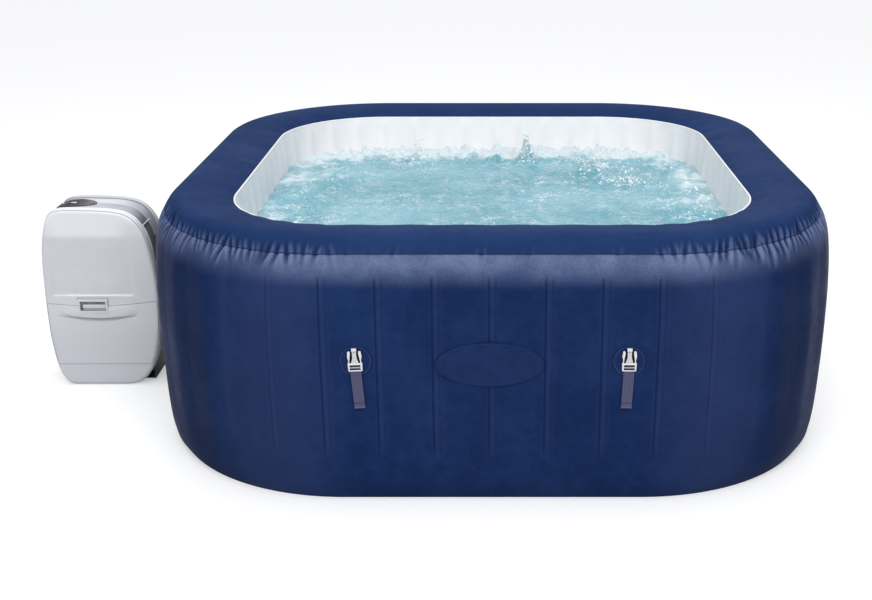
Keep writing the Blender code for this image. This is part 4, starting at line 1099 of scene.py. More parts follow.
@dataclass
class TubShell:
    """The air chamber's three skins, their seams, and the panels under them."""

    form: TubForm
    groove: float = 0.0030
    second_groove: float = 0.0016
    pillow: float = 0.0036
    line_shift: float = 0.0080
    weld_low: float = 0.1150
    weld_high: float = 0.5700
    thickness: float = 0.0008
    seam_way: Point = (0.62, 0.78)
    bead: float = 0.0009
    patch_radius: float = 0.0385
    patch_thickness: float = 0.0006
    rib_sink: float = 0.0004
    side_pleats: int = 13
    puckers: list[Pucker] = field(default_factory=list)

    def gather(self) -> None:
        """Scatter the gathers: close and deep in the corners, few and slight on the sides."""
        rng = random.Random(11)
        total = 4.0 * self.form.side
        at = 0.0
        while at < total:
            corner = float(self.form.corner_share(np.array(at)))
            big = rng.random()
            depth = (0.0003 + 0.0022 * big ** 3) * (1.0 - corner) + (0.0030 + 0.0075 * big) * corner
            width = rng.uniform(0.0042, 0.0062) + 0.0035 * corner * big
            self.puckers.append(Pucker(at, depth, width, rng.uniform(0.022, 0.042) * (0.6 + 0.4 * corner),
                                       rng.uniform(0.012, 0.024), rng.uniform(-0.35, 0.35)))
            at += rng.uniform(0.015, 0.028) + (1.0 - corner) * rng.uniform(0.004, 0.040)

    def gathers(self, distance: Array, beyond: Array) -> Array:
        """Depth of the gathers.

        Args:
            distance: Distances round the tub, one for each column.
            beyond: Distance from the seam for each row, negative below it.

        Returns:
            Depths as rows and columns.
        """
        total = 4.0 * self.form.side
        depth = np.zeros((len(beyond), len(distance)))
        for pucker in self.puckers:
            off = (distance - pucker.at + 0.5 * total) % total - 0.5 * total
            near = np.abs(off) < 0.06
            if not near.any():
                continue
            length = np.where(beyond < 0.0, pucker.below, pucker.above)[:, None]
            slanted = off[near] - pucker.lean * beyond[:, None]
            depth[:, near] += pucker.depth * bell(slanted, pucker.width) * bell(beyond[:, None], length)
        return depth

    def fold_marks(self, folds: Array) -> dict[str, Array]:
        """Marks for the painted shade in the gathers' hollows and for the painted highlights on the ridges
        beside them.

        Args:
            folds: Depths as rows and columns.

        Returns:
            Values from 0 to 1, by the attribute's name.
        """
        beside = np.maximum(np.roll(folds, 2, axis=1), 0.7 * np.roll(folds, -2, axis=1))
        return {"dent": np.clip(folds / 0.006, 0.0, 1.0),
                "ridge": np.clip((beside - folds - 0.0004) / 0.0030, 0.0, 1.0)}

    def build(self) -> None:
        """Make every piece of the shell."""
        self.gather()
        around = self.form.columns()
        self.outer_wall(around)
        self.top_panel(around)
        self.inner_wall(around)
        self.seam_bead(around)
        self.liner_edge(around)
        self.weld_patches()

    def pillowed(self, around: Array, height: Array) -> Array:
        """Inward depth of the panels between weld pairs, as rows and columns."""
        share = np.abs(np.cos(math.pi * (around / self.form.pitch))) ** 1.5
        upright = ramp_between(height, 0.04, 0.20) * ramp_between(height, 0.605, 0.52)
        return self.pillow * share * upright[:, None]

    def close_skin(self, piece: Piece, finish: Finish, node: str) -> None:
        """Weld a skin's end, give it its thickness and let it stand for its CAD node.

        Args:
            piece: The open skin.
            finish: What it is made of.
            node: The CAD node it replaces.
        """
        weld(piece)
        thicken(piece, self.thickness)
        smooth(piece, 60.0)
        finish.dress(piece)
        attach(piece, "tub")
        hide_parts(node)
        LOG.info("%s: %d faces", piece.name, len(piece.data.polygons))

    def outer_wall(self, around: Array) -> None:
        """Outer wall with its weld lines, pillowed panels and gathers."""
        form = self.form
        stations = np.concatenate([np.linspace(0.0, 0.87, 18)[:-1], np.linspace(0.87, 1.0, 16)])
        laid, normal, length = spaced(form.outer_line(), stations)
        beyond = (stations - 1.0) * length
        height = laid[:, 1]
        pair = around - np.rint(around / form.pitch) * form.pitch
        upright = ramp_between(height, self.weld_low, self.weld_low + 0.05)
        upright = upright * ramp_between(height, self.weld_high + 0.012, self.weld_high - 0.012)
        lines = self.groove * bell(pair + self.line_shift, 0.0034)
        lines = lines + self.second_groove * bell(pair - self.line_shift, 0.0040)
        lines = lines * (1.0 - 0.80 * form.corner_share(around))
        inward = self.pillowed(around, height) + upright[:, None] * lines
        points = form.place(around, laid[:, :1], laid[:, 1:])
        ripple = 0.0012 * (1.0 + cloud(points, 6.0, 3.1)) + 0.0005 * (1.0 + cloud(points, 19.0, 8.7))
        inward = (inward + ripple) * ramp_between(height, 0.0, 0.05)[:, None]
        reach, rise = sunk(laid, normal, inward)
        folds = self.gathers(around, beyond)
        reach, rise = reach - folds * self.seam_way[0], rise - folds * self.seam_way[1]
        chart = np.broadcast_arrays(around / form.pitch, (stations * length)[:, None])
        piece = formed_grid("outer_wall_skin", form.place(around, reach, rise),
                            np.stack(chart, axis=2), **self.fold_marks(folds))
        self.close_skin(piece, WALL, "outer_wall")

    def top_panel(self, around: Array) -> None:
        """Top panel from the outer seam to the inner one."""
        form = self.form
        stations = np.concatenate([np.linspace(0.0, 0.18, 10)[:-1], np.linspace(0.18, 1.0, 13)])
        laid, _, length = spaced(form.top_line(), stations)
        folds = self.gathers(around, stations * length)
        reach, rise = laid[:, :1] - folds * self.seam_way[0], laid[:, 1:] - folds * self.seam_way[1]
        panels = np.cos(math.pi * around / form.pitch) ** 2
        rise = rise - 0.0022 * bell(stations - 0.86, 0.10)[:, None] * panels
        piece = formed_grid("top_panel_skin", form.place(around, reach, rise),
                            **self.fold_marks(folds))
        self.close_skin(piece, RIM, "top_panel")

    def inner_wall(self, around: Array) -> None:
        """Pale liner with soft upright pleats, and painted shade in their hollows."""
        form = self.form
        laid, normal, _ = spaced(form.inner_line(), np.linspace(0.0, 1.0, 22))
        height = laid[:, 1]
        along = around - np.floor(around / form.side + 0.5) * form.side
        turning = np.maximum(np.abs(along) - form.corner_centre, 0.0)
        radius = form.inner_bulge[0] - form.corner_centre
        inner = np.sign(along) * (np.abs(along) - turning * (1.0 - radius / (form.half - form.corner_centre)))
        side = 2.0 * form.corner_centre + QUARTER_TURN * radius
        pleat = np.abs(np.cos(math.pi * inner / side * self.side_pleats))
        upright = ramp_between(height, 0.02, 0.12) * ramp_between(height, 0.630, 0.600)
        inward = -(0.0042 * pleat ** 6 + 0.0014 * pleat) * upright[:, None]
        reach, rise = sunk(laid, normal, inward)
        dent = pleat ** 14 * upright[:, None]
        piece = formed_grid("inner_wall_skin", form.place(around, reach, rise), dent=dent,
                            ridge=0.0 * dent)
        self.close_skin(piece, LINER, "inner_wall")

    def ring(self, name: str, around: Array, reach: Array, rise: Array, radius: float) -> Piece:
        """Round bead that follows a line round the tub.

        Args:
            name: Name of the bead.
            around: Distances round the tub.
            reach: Reach of its middle at each distance.
            rise: Height of its middle at each distance.
            radius: Radius of the bead.

        Returns:
            The closed bead.
        """
        turn = np.linspace(0.0, FULL_TURN, 9)[:, None]
        points = self.form.place(around, reach + radius * np.cos(turn),
                                 rise + radius * np.sin(turn))
        piece = formed_grid(name, points)
        weld(piece)
        smooth(piece, 80.0)
        return piece

    def seam_bead(self, around: Array) -> None:
        """Welded bead along the outer seam, pulled in by the gathers."""
        folds = self.gathers(around, np.zeros(1))[0]
        reach = self.form.outer_seam[0] - folds * self.seam_way[0] - 0.0003
        rise = self.form.outer_seam[1] - folds * self.seam_way[1] - 0.0003
        piece = SEAM.dress(self.ring("outer_seam_bead", around, reach, rise, self.bead))
        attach(piece, "tub")

    def liner_edge(self, around: Array) -> None:
        """Pale welded edge where the liner meets the top panel."""
        flat = np.zeros_like(around)
        piece = LINER.dress(self.ring("liner_edge", around, flat + self.form.inner_seam[0] + 0.0010,
                                      flat + self.form.inner_seam[1] + 0.0012, 0.0028))
        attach(piece, "tub")

    def on_wall(self, distance: Array, height: Array, lift: Array) -> Array:
        """Places that lie a lift outside the outer wall's panels."""
        line = np.array(self.form.outer_line())
        reach = np.interp(height, line[:, 1], line[:, 0])
        return self.form.place(distance, reach + lift, height)

    def rib(self, name: str, middle: Point, half: Point, radius: float) -> None:
        """Raised welded rib in an oval on the outer wall, painted in a paler navy as its highlight.

        Args:
            name: Name of the rib.
            middle: Distance round the tub and height of the oval's middle.
            half: Half width and half height of the oval.
            radius: Radius of the rib.
        """
        turn = np.linspace(0.0, FULL_TURN, 97)
        tube = np.linspace(0.0, FULL_TURN, 9)[:, None]
        across = middle[0] + (half[0] + radius * np.cos(tube)) * np.cos(turn)
        up = middle[1] + (half[1] + radius * np.cos(tube)) * np.sin(turn)
        piece = formed_grid(name, self.on_wall(across, up, radius * np.sin(tube) - self.rib_sink))
        weld(piece)
        smooth(piece, 80.0)
        HIGHLIT_RIB.dress(piece)
        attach(piece, "tub")

    def oval(self, name: str, middle: Point, half: Point, section: Sequence[Point],
             steps: int) -> Piece:
        """Thin oval patch that lies on the outer wall.

        Args:
            name: Name of the patch.
            middle: Distance round the tub and height of its middle.
            half: Half width and half height.
            section: Share of the way out and lift off the wall, from the middle to the edge.
            steps: Spans round the patch.

        Returns:
            The patch with its thickness.
        """
        share, lift = np.array(section).T[:, :, None]
        turn = np.linspace(0.0, FULL_TURN, steps + 1)
        across = middle[0] + half[0] * share * np.cos(turn)
        up = middle[1] + half[1] * share * np.sin(turn)
        piece = formed_grid(name, self.on_wall(across, up, lift))
        weld(piece)
        thicken(piece, self.patch_thickness)
        smooth(piece, 50.0)
        return piece

    def weld_patches(self) -> None:
        """Round patches that carry the straps, two on each side."""
        section = [(share, -0.0010) for share in (0.0, 0.25, 0.50, 0.75, 0.90)]
        section += [(0.94, -0.0006), (0.98, -0.0008), (1.0, -0.0046)]
        level, half, inner = STRAPS.pivot_height + 0.020, self.patch_radius, self.patch_radius - 0.0035
        for side in Side:
            for letter, along in zip("ab", STRAPS.places):
                label = f"{side.name.lower()}_{letter}"
                middle = (side.value * self.form.side + along, level)
                piece = self.oval(f"weld_patch_{label}", middle, (half, half), section, 48)
                PATCH.dress(piece)
                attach(piece, "tub")
                self.rib(f"weld_rib_{label}", middle, (inner, inner), 0.0008)


# ---- straps and badge


@dataclass
class Straps:
    """Buckles on webbing tails, two on each side of the tub."""

    places: tuple[float, float] = (-0.317, 0.317)
    pivot_height: float = 0.3540
    back: float = 0.9010
    thick: float = 0.0070
    width: float = 0.0250
    free_end: float = 0.2580
    leans: dict[str, Point] = field(default_factory=lambda: {"a": (-2.6, -4.2), "b": (0.0, 2.0)})

    def build(self) -> None:
        """Model one buckle and one strap, and copy them round the tub."""
        buckle = self.model_buckle()
        webbing = self.model_webbing()
        for side in Side:
            for letter, along in zip("ab", self.places):
                label = f"{side.name.lower()}_{letter}"
                turn = Matrix.Rotation(side.value * QUARTER_TURN, 4, "Z")
                turn = turn @ Matrix.Translation((along, 0.0, 0.0))
                tipped, hung = (turn @ self.leant(degrees) for degrees in self.leans[letter])
                node = f"buckle_{label}"
                self.copied(buckle, f"{node}_plastic", tipped, node, node)
                node = f"webbing_{label}"
                self.copied(webbing, f"{node}_strap", hung, "tub", node)
        for model in (buckle, webbing):
            bpy.data.objects.remove(model, do_unlink=True)
        LOG.info("straps: 8 buckles on 8 webbings")

    def leant(self, degrees: float) -> Matrix:
        """Lean to one side about the buckle's pivot."""
        hang = Matrix.Translation((0.0, 0.0, self.pivot_height))
        return hang @ Matrix.Rotation(math.radians(degrees), 4, "Y") @ hang.inverted()

    def copied(self, model: Piece, name: str, move: Matrix, body: str,
               node: str) -> None:
        """Copy a model with its own mesh to its place.

        Args:
            model: What is copied.
            name: Name of the copy.
            move: Its place.
            body: The body it rides on.
            node: The CAD node it replaces.
        """
        piece = model.copy()
        piece.data = model.data.copy()
        piece.name = name
        piece.data.name = name
        bpy.context.scene.collection.objects.link(piece)
        piece.matrix_world = move
        place_in_mesh(piece)
        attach(piece, body)
        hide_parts(node)

    def model_buckle(self) -> Piece:
        """Side-release buckle, front side, at the middle of the tub's front."""
        low, near = self.pivot_height, -(self.back + self.thick)
        far = -self.back
        before, behind = near - CLEAR, far + CLEAR
        body = self.plate("buckle_body", self.mirrored((0.0165, -0.0025), (0.0172, 0.0180)),
                          near + 0.0006, far, 0.0018)
        for bottom, top in ((0.0012, 0.0060), (0.0088, 0.0140)):
            slot = box("buckle_slot", (-0.0128, before, low + bottom), (0.0128, behind, low + top), 0.0006)
            cut(body, slot)
        cut(body, box("strap_way", (-0.0130, far - 0.0036, low - 0.0060), (0.0130, behind, low + 0.0150)))
        white = [body]
        arm = ((0.0128, 0.0172), (0.0122, 0.0240), (0.0110, 0.0325), (0.0098, 0.0400), (0.0098, 0.0455),
               (0.0112, 0.0475), (0.0144, 0.0475), (0.0158, 0.0455), (0.0162, 0.0390), (0.0172, 0.0345),
               (0.0160, 0.0305), (0.0148, 0.0250), (0.0152, 0.0205), (0.0172, 0.0172))
        for hand in (-1.0, 1.0):
            outline = [(hand * x, z) for x, z in arm]
            white.append(self.plate("buckle_arm", outline, near + 0.0012, far - 0.0014, 0.0008))
        white.append(self.plate("buckle_tip", self.mirrored((0.0060, 0.0476), (0.0058, 0.0544)),
                                near + 0.0004, far - 0.0014, 0.0010))
        guide = self.mirrored((0.0092, 0.0175), (0.0052, 0.0310), (0.0048, 0.0480))
        guide = self.plate("buckle_guide", guide, near + 0.0014, far - 0.0014, 0.0008)
        cut(guide, box("guide_hole", (-0.0020, before, low + 0.0450), (0.0020, behind, low + 0.0468)))
        bar = self.plate("buckle_bar", self.mirrored((0.0127, 0.0060), (0.0127, 0.0088)),
                         near + 0.0004, near + 0.0026, 0.0008)
        # Painted shade: a near-black sheet behind the slots and the gaps beside the guide.
        shade_backing = self.plate("buckle_shade_backing", self.mirrored((0.0130, 0.0008), (0.0100, 0.0465)),
                         far - 0.0043, far - 0.0036, 0.0002)
        for piece in white:
            WHITE_BUCKLE.dress(piece)
        GUIDE_BUCKLE.dress(guide)
        BAR_BUCKLE.dress(bar)
        SHADE_BACKING_BUCKLE.dress(shade_backing)
        piece = join("buckle_model", [*white, guide, bar, shade_backing])
        smooth(piece, 35.0)
        return piece

    @staticmethod
    def mirrored(*right: Point) -> list[Point]:
        """Outline from its right-hand points, in upward order; starts at the lower left."""
        return [(-right[0][0], right[0][1]), *right, *((-x, z) for x, z in right[:0:-1])]

    def plate(self, name: str, outline: Sequence[Point], near: float, far: float,
              edge: float) -> Piece:
        """Bevelled plate of the buckle; its outline is measured from the pivot."""
        piece = prism(name, [(x, z + self.pivot_height) for x, z in outline], near, far)
        bevel(piece, edge)
        return piece

    def model_webbing(self) -> Piece:
        """Strap that wraps the buckle's lower bar and hangs down to a sewn hem."""
        back, front = -(self.back + 0.0006), -(self.back + 0.0030)
        bar, low = self.pivot_height, self.free_end
        line = np.array([(back, bar - 0.0220), (back, bar + 0.0080), (back - 0.0008, bar + 0.0092),
                         (front - 0.0001, bar + 0.0080), (front - 0.0001, bar - 0.0060),
                         (front - 0.0006, bar - 0.0240), (front - 0.0004, low + 0.0450),
                         (front + 0.0002, low + 0.0150), (front - 0.0009, low + 0.0120),
                         (front - 0.0012, low)])
        run = np.concatenate([[0.0], np.cumsum(np.hypot(*np.diff(line, axis=0).T))])
        where = np.linspace(0.0, run[-1], 60)
        y, z = (np.interp(where, run, line[:, i]) for i in (0, 1))
        across = np.linspace(-0.5, 0.5, 15)
        rib = 0.00018 * np.cos(across * FULL_TURN * 5.0)
        points = np.broadcast_arrays(across * self.width, y[:, None] - rib, z[:, None])
        chart = np.broadcast_arrays(across + 0.5, where[:, None])
        piece = formed_grid("webbing_model", np.stack(points, axis=2), np.stack(chart, axis=2))
        thicken(piece, 0.0012, 0.0)
        smooth(piece, 50.0)
        return STRAP.dress(piece)


STRAPS = Straps()


@dataclass
class Badge:
    """Blank oval patch on the front wall with a raised rim."""

    shell: TubShell
    half_width: float = 0.1280
    half_height: float = 0.0545
    middle: Point = (-0.0060, 0.3650)

    def build(self) -> None:
        """Lay the oval on the wall and raise its rim."""
        section = [(share, 0.0008) for share in (0.0, 0.3, 0.6, 0.80, 0.86)]
        section += [(0.885, 0.0016), (0.91, 0.0018), (0.94, 0.0016), (0.965, 0.0010), (0.985, 0.0009),
                    (1.0, -0.0024)]
        piece = self.shell.oval("badge_oval", self.middle, (self.half_width, self.half_height), section, 96)
        BADGE.dress(piece)
        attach(piece, "tub")
        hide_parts("badge_patch")
        inner = (self.half_width - 0.0050, self.half_height - 0.0050)
        self.shell.rib("badge_rib", self.middle, inner, 0.0013)
        LOG.info("badge: blank oval")


# ---- water


@dataclass
class Water:
    """The bath's water while the air jets run; each mound is its x, y, height and width."""

    form: TubForm
    level: float = 0.5200
    gap: float = 0.0004
    depth: float = 0.0040
    steps: int = 190
    drops: int = 420
    mounds: tuple[tuple[float, float, float, float], ...] = (
        (0.115, 0.470, 0.062, 0.030), (0.330, 0.330, 0.040, 0.060), (-0.250, 0.520, 0.016, 0.060),
        (0.430, 0.180, 0.012, 0.060), (-0.470, 0.320, 0.012, 0.070), (-0.300, -0.080, 0.006, 0.090),
        (0.080, 0.100, 0.008, 0.100),
    )

    def edge(self) -> float:
        """Reach of the liner at the water's level."""
        line = np.array(self.form.inner_line())[::-1]
        return float(np.interp(self.level, line[:, 1], line[:, 0])) - self.gap

    def heights(self, x: Array, y: Array) -> tuple[Array, Array]:
        """Height of the surface over its level, and its froth.

        Args:
            x: Places along the front.
            y: Places from front to back.

        Returns:
            Heights and froth shares.
        """
        flat = np.stack([x, y, 0.0 * x], axis=-1)
        slow, quick, tiny = cloud(flat, 5.0, 2.3), cloud(flat, 17.0, 5.1), cloud(flat, 46.0, 9.4)
        chop = 1.0 - 2.0 * np.abs(cloud(flat, 27.0, 1.7))
        reach = np.maximum(np.abs(x), y)
        rim = ramp_between(reach, 0.42, 0.64)
        froth = 0.30 + 0.25 * slow + 0.35 * np.maximum(chop, 0.0) * np.maximum(quick + 0.25, 0.0) + 0.42 * rim
        rise = 0.0030 * slow + 0.0036 * quick + 0.0030 * chop + 0.0022 * tiny
        rise = rise + 0.009 * rim * np.maximum(tiny + 0.5 * chop, 0.0)
        back = ramp_between(y, 0.38, 0.60)
        froth = froth + 0.26 * back + 0.20 * back * np.maximum(quick + chop - 0.3, 0.0)
        rise = rise + 0.012 * back * np.maximum(tiny + 0.6 * chop + 0.35 * quick, 0.0)
        for at_x, at_y, high, wide in self.mounds:
            hump = bell(np.hypot(x - at_x, y - at_y), wide)
            rise = rise + high * hump * (0.60 + 0.70 * np.abs(tiny) + 0.35 * chop)
            froth = froth + 0.55 * min(1.0, high / 0.03) * hump ** 0.6
        return rise, np.clip(froth, 0.0, 1.0)

    def build(self) -> None:
        """Make the surface and the froth on it."""
        share = np.linspace(-1.0, 1.0, self.steps + 1)
        a, b = np.meshgrid(share, share)
        angle = np.arctan2(b, a)
        reach, corner = self.edge(), self.edge() - self.form.corner_centre
        folded = np.abs((angle + 0.25 * math.pi) % (QUARTER_TURN) - 0.25 * math.pi)
        straight = reach / np.cos(folded)
        centre = self.form.corner_centre
        along = centre * (np.cos(folded) + np.sin(folded))
        inside = np.maximum(along ** 2 - 2.0 * centre ** 2 + corner ** 2, 0.0)
        rounded = np.where(reach * np.tan(folded) > centre, along + np.sqrt(inside), straight)
        ring = np.maximum(np.abs(a), np.abs(b))
        stretch = 1.0 + (rounded / straight - 1.0) * ring ** 2
        x, y = a * reach * stretch, b * reach * stretch
        rise, froth = self.heights(x, y)
        calm = ramp_between(1.0 - ring, 0.0, 0.02)
        points = np.stack([x, y, self.level + rise * (0.3 + 0.7 * calm)], axis=2)
        piece = formed_grid("bath_water", points, froth=froth)
        thicken(piece, self.depth)
        smooth(piece, 80.0)
        WATER.dress(piece)
        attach(piece, "tub")
        self.throw_drops()
        LOG.info("water: level %.3f, reach %.3f", self.level, reach)

    def throw_drops(self) -> None:
        """Froth beads and thrown drops, gathered at the mounds and along the back edge."""
        rng = random.Random(5)
        bpy.ops.object.select_all(action="DESELECT")
        bpy.ops.mesh.primitive_ico_sphere_add(subdivisions=1, radius=1.0)
        bead = named("froth_bead")
        cage = np.array([vertex.co[:] for vertex in bead.data.vertices])
        faces = [tuple(face.vertices) for face in bead.data.polygons]
        bpy.data.objects.remove(bead, do_unlink=True)
        points, polygons = [], []
        for index in range(self.drops):
            at_x, at_y, _, wide = rng.choice(self.mounds[:4])
            angle, off = rng.uniform(0.0, FULL_TURN), abs(rng.gauss(0.0, 0.75)) * wide
            x, y = at_x + off * math.cos(angle), at_y + off * math.sin(angle)
            if index % 3 == 0:
                along = rng.uniform(-0.50, 0.50)
                x, y = (along, rng.uniform(0.58, 0.645)) if index % 2 else (rng.uniform(0.58, 0.645), along)
            rise = float(self.heights(np.array([x]), np.array([y]))[0][0])
            size = rng.uniform(0.0018, 0.0055)
            up = rng.random() ** 6 * 0.05 * bool(index % 3)
            start = len(points) * len(cage)
            points.append(cage * size * [1.0, 1.0, rng.uniform(0.7, 1.2)] + [x, y, self.level + rise + up])
            polygons += [tuple(start + corner for corner in face) for face in faces]
        mesh = bpy.data.meshes.new("froth_drops")
        mesh.from_pydata(np.concatenate(points).tolist(), [], polygons)
        piece = bpy.data.objects.new("froth_drops", mesh)
        bpy.context.scene.collection.objects.link(piece)
        smooth(piece, 180.0)
        DROPS.dress(piece)
        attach(piece, "tub")


# ---- pump


def closed_curve(knots: Sequence[Point], steps: int) -> Array:
    """Smooth closed curve through knots.

    Args:
        knots: Points that the curve passes, in order.
        steps: Points for each span.

    Returns:
        Points round the curve, the first not repeated.
    """
    given = np.array(knots)
    share = np.linspace(0.0, 1.0, steps, endpoint=False)[:, None]
    spans = []
    for index in range(len(given)):
        a, b, c, d = (given[(index + step) % len(given)] for step in (-1, 0, 1, 2))
        spans.append(0.5 * (2.0 * b + (c - a) * share + (2.0 * a - 5.0 * b + 4.0 * c - d) * share ** 2
                            + (3.0 * b - a - 3.0 * c + d) * share ** 3))
    return np.concatenate(spans)


@dataclass
class PumpForm:
    """The pump unit's driving sizes and its outline."""

    near: float = -0.1800
    far: float = -0.0040
    side_depth: float = 0.0300
    wall: float = 0.0030
    edge: float = 0.0120
    core_inset: float = 0.0078
    cover_inset: float = 0.0040
    door_middle: float = -1.1610
    door_low: float = 0.0680
    door_margin: float = 0.0060
    gap: float = 0.0012
    tongue_half: float = 0.0430
    tongue_top: float = 0.2735
    knots: tuple[Point, ...] = (
        (-1.2360, 0.5370), (-1.1600, 0.5385), (-1.0800, 0.5340), (-1.0320, 0.5180), (-1.0000, 0.4800),
        (-0.9820, 0.4200), (-0.9700, 0.3200), (-0.9705, 0.2150), (-0.9820, 0.1200), (-1.0080, 0.0500),
        (-1.0430, 0.0110), (-1.0900, 0.0000), (-1.1660, 0.0000), (-1.2400, 0.0000), (-1.2690, 0.0160),
        (-1.2880, 0.0620), (-1.2990, 0.1500), (-1.3010, 0.2700), (-1.2960, 0.4000), (-1.2850, 0.4700),
        (-1.2670, 0.5200),
    )

    @property
    def middle(self) -> float:
        """Middle of the pump from front to back."""
        return 0.5 * (self.near + self.far)

    @property
    def between(self) -> Point:
        """Near and far ends of what stands between the side covers."""
        return self.near + self.side_depth + 0.0003, self.far - self.side_depth - 0.0003

    def outline(self, inset: float = 0.0, steps: int = 9) -> Array:
        """Clockwise outline seen from the front, moved inwards by the inset."""
        line = closed_curve(self.knots, steps)
        along = np.roll(line, -1, axis=0) - np.roll(line, 1, axis=0)
        along /= np.hypot(along[:, 0], along[:, 1])[:, None]
        moved = line + inset * np.stack([along[:, 1], -along[:, 0]], axis=1)
        moved[:, 1] = np.maximum(moved[:, 1], inset)
        return moved

    def door_top(self, x: float) -> float:
        """Height of the split line between the cover and the door."""
        return 0.2500 + 0.0070 * ((x - self.door_middle) / 0.13) ** 2

    def door_outline(self, grow: float) -> list[Point]:
        """Outline of the service door, grown outwards.

        Args:
            grow: How far outside the door's own edge.

        Returns:
            Points (x, z), clockwise from the upper left.
        """
        low, middle = self.door_low - grow, self.door_middle
        sides = [tuple(p) for p in self.outline(self.door_margin - grow, 6)
                 if low < p[1] < self.door_top(p[0]) + grow - 0.004]
        left = sorted((p for p in sides if p[0] < middle), key=lambda p: p[1])
        right = sorted((p for p in sides if p[0] > middle), key=lambda p: -p[1])
        tongue, crown = self.tongue_half + grow, self.tongue_top + grow
        before, after = [], []
        for x in np.linspace(left[-1][0] + 0.001, right[0][0] - 0.001, 25).tolist():
            if abs(x - middle) > tongue + 0.002:
                (before if x < middle else after).append((x, self.door_top(x) + grow))
        shoulder = self.door_top(middle + tongue) + grow
        return [(left[0][0], low), *left, *before, (middle - tongue, shoulder), (middle - tongue, crown),
                (middle + tongue, crown), (middle + tongue, shoulder), *after, *right, (right[-1][0], low)]


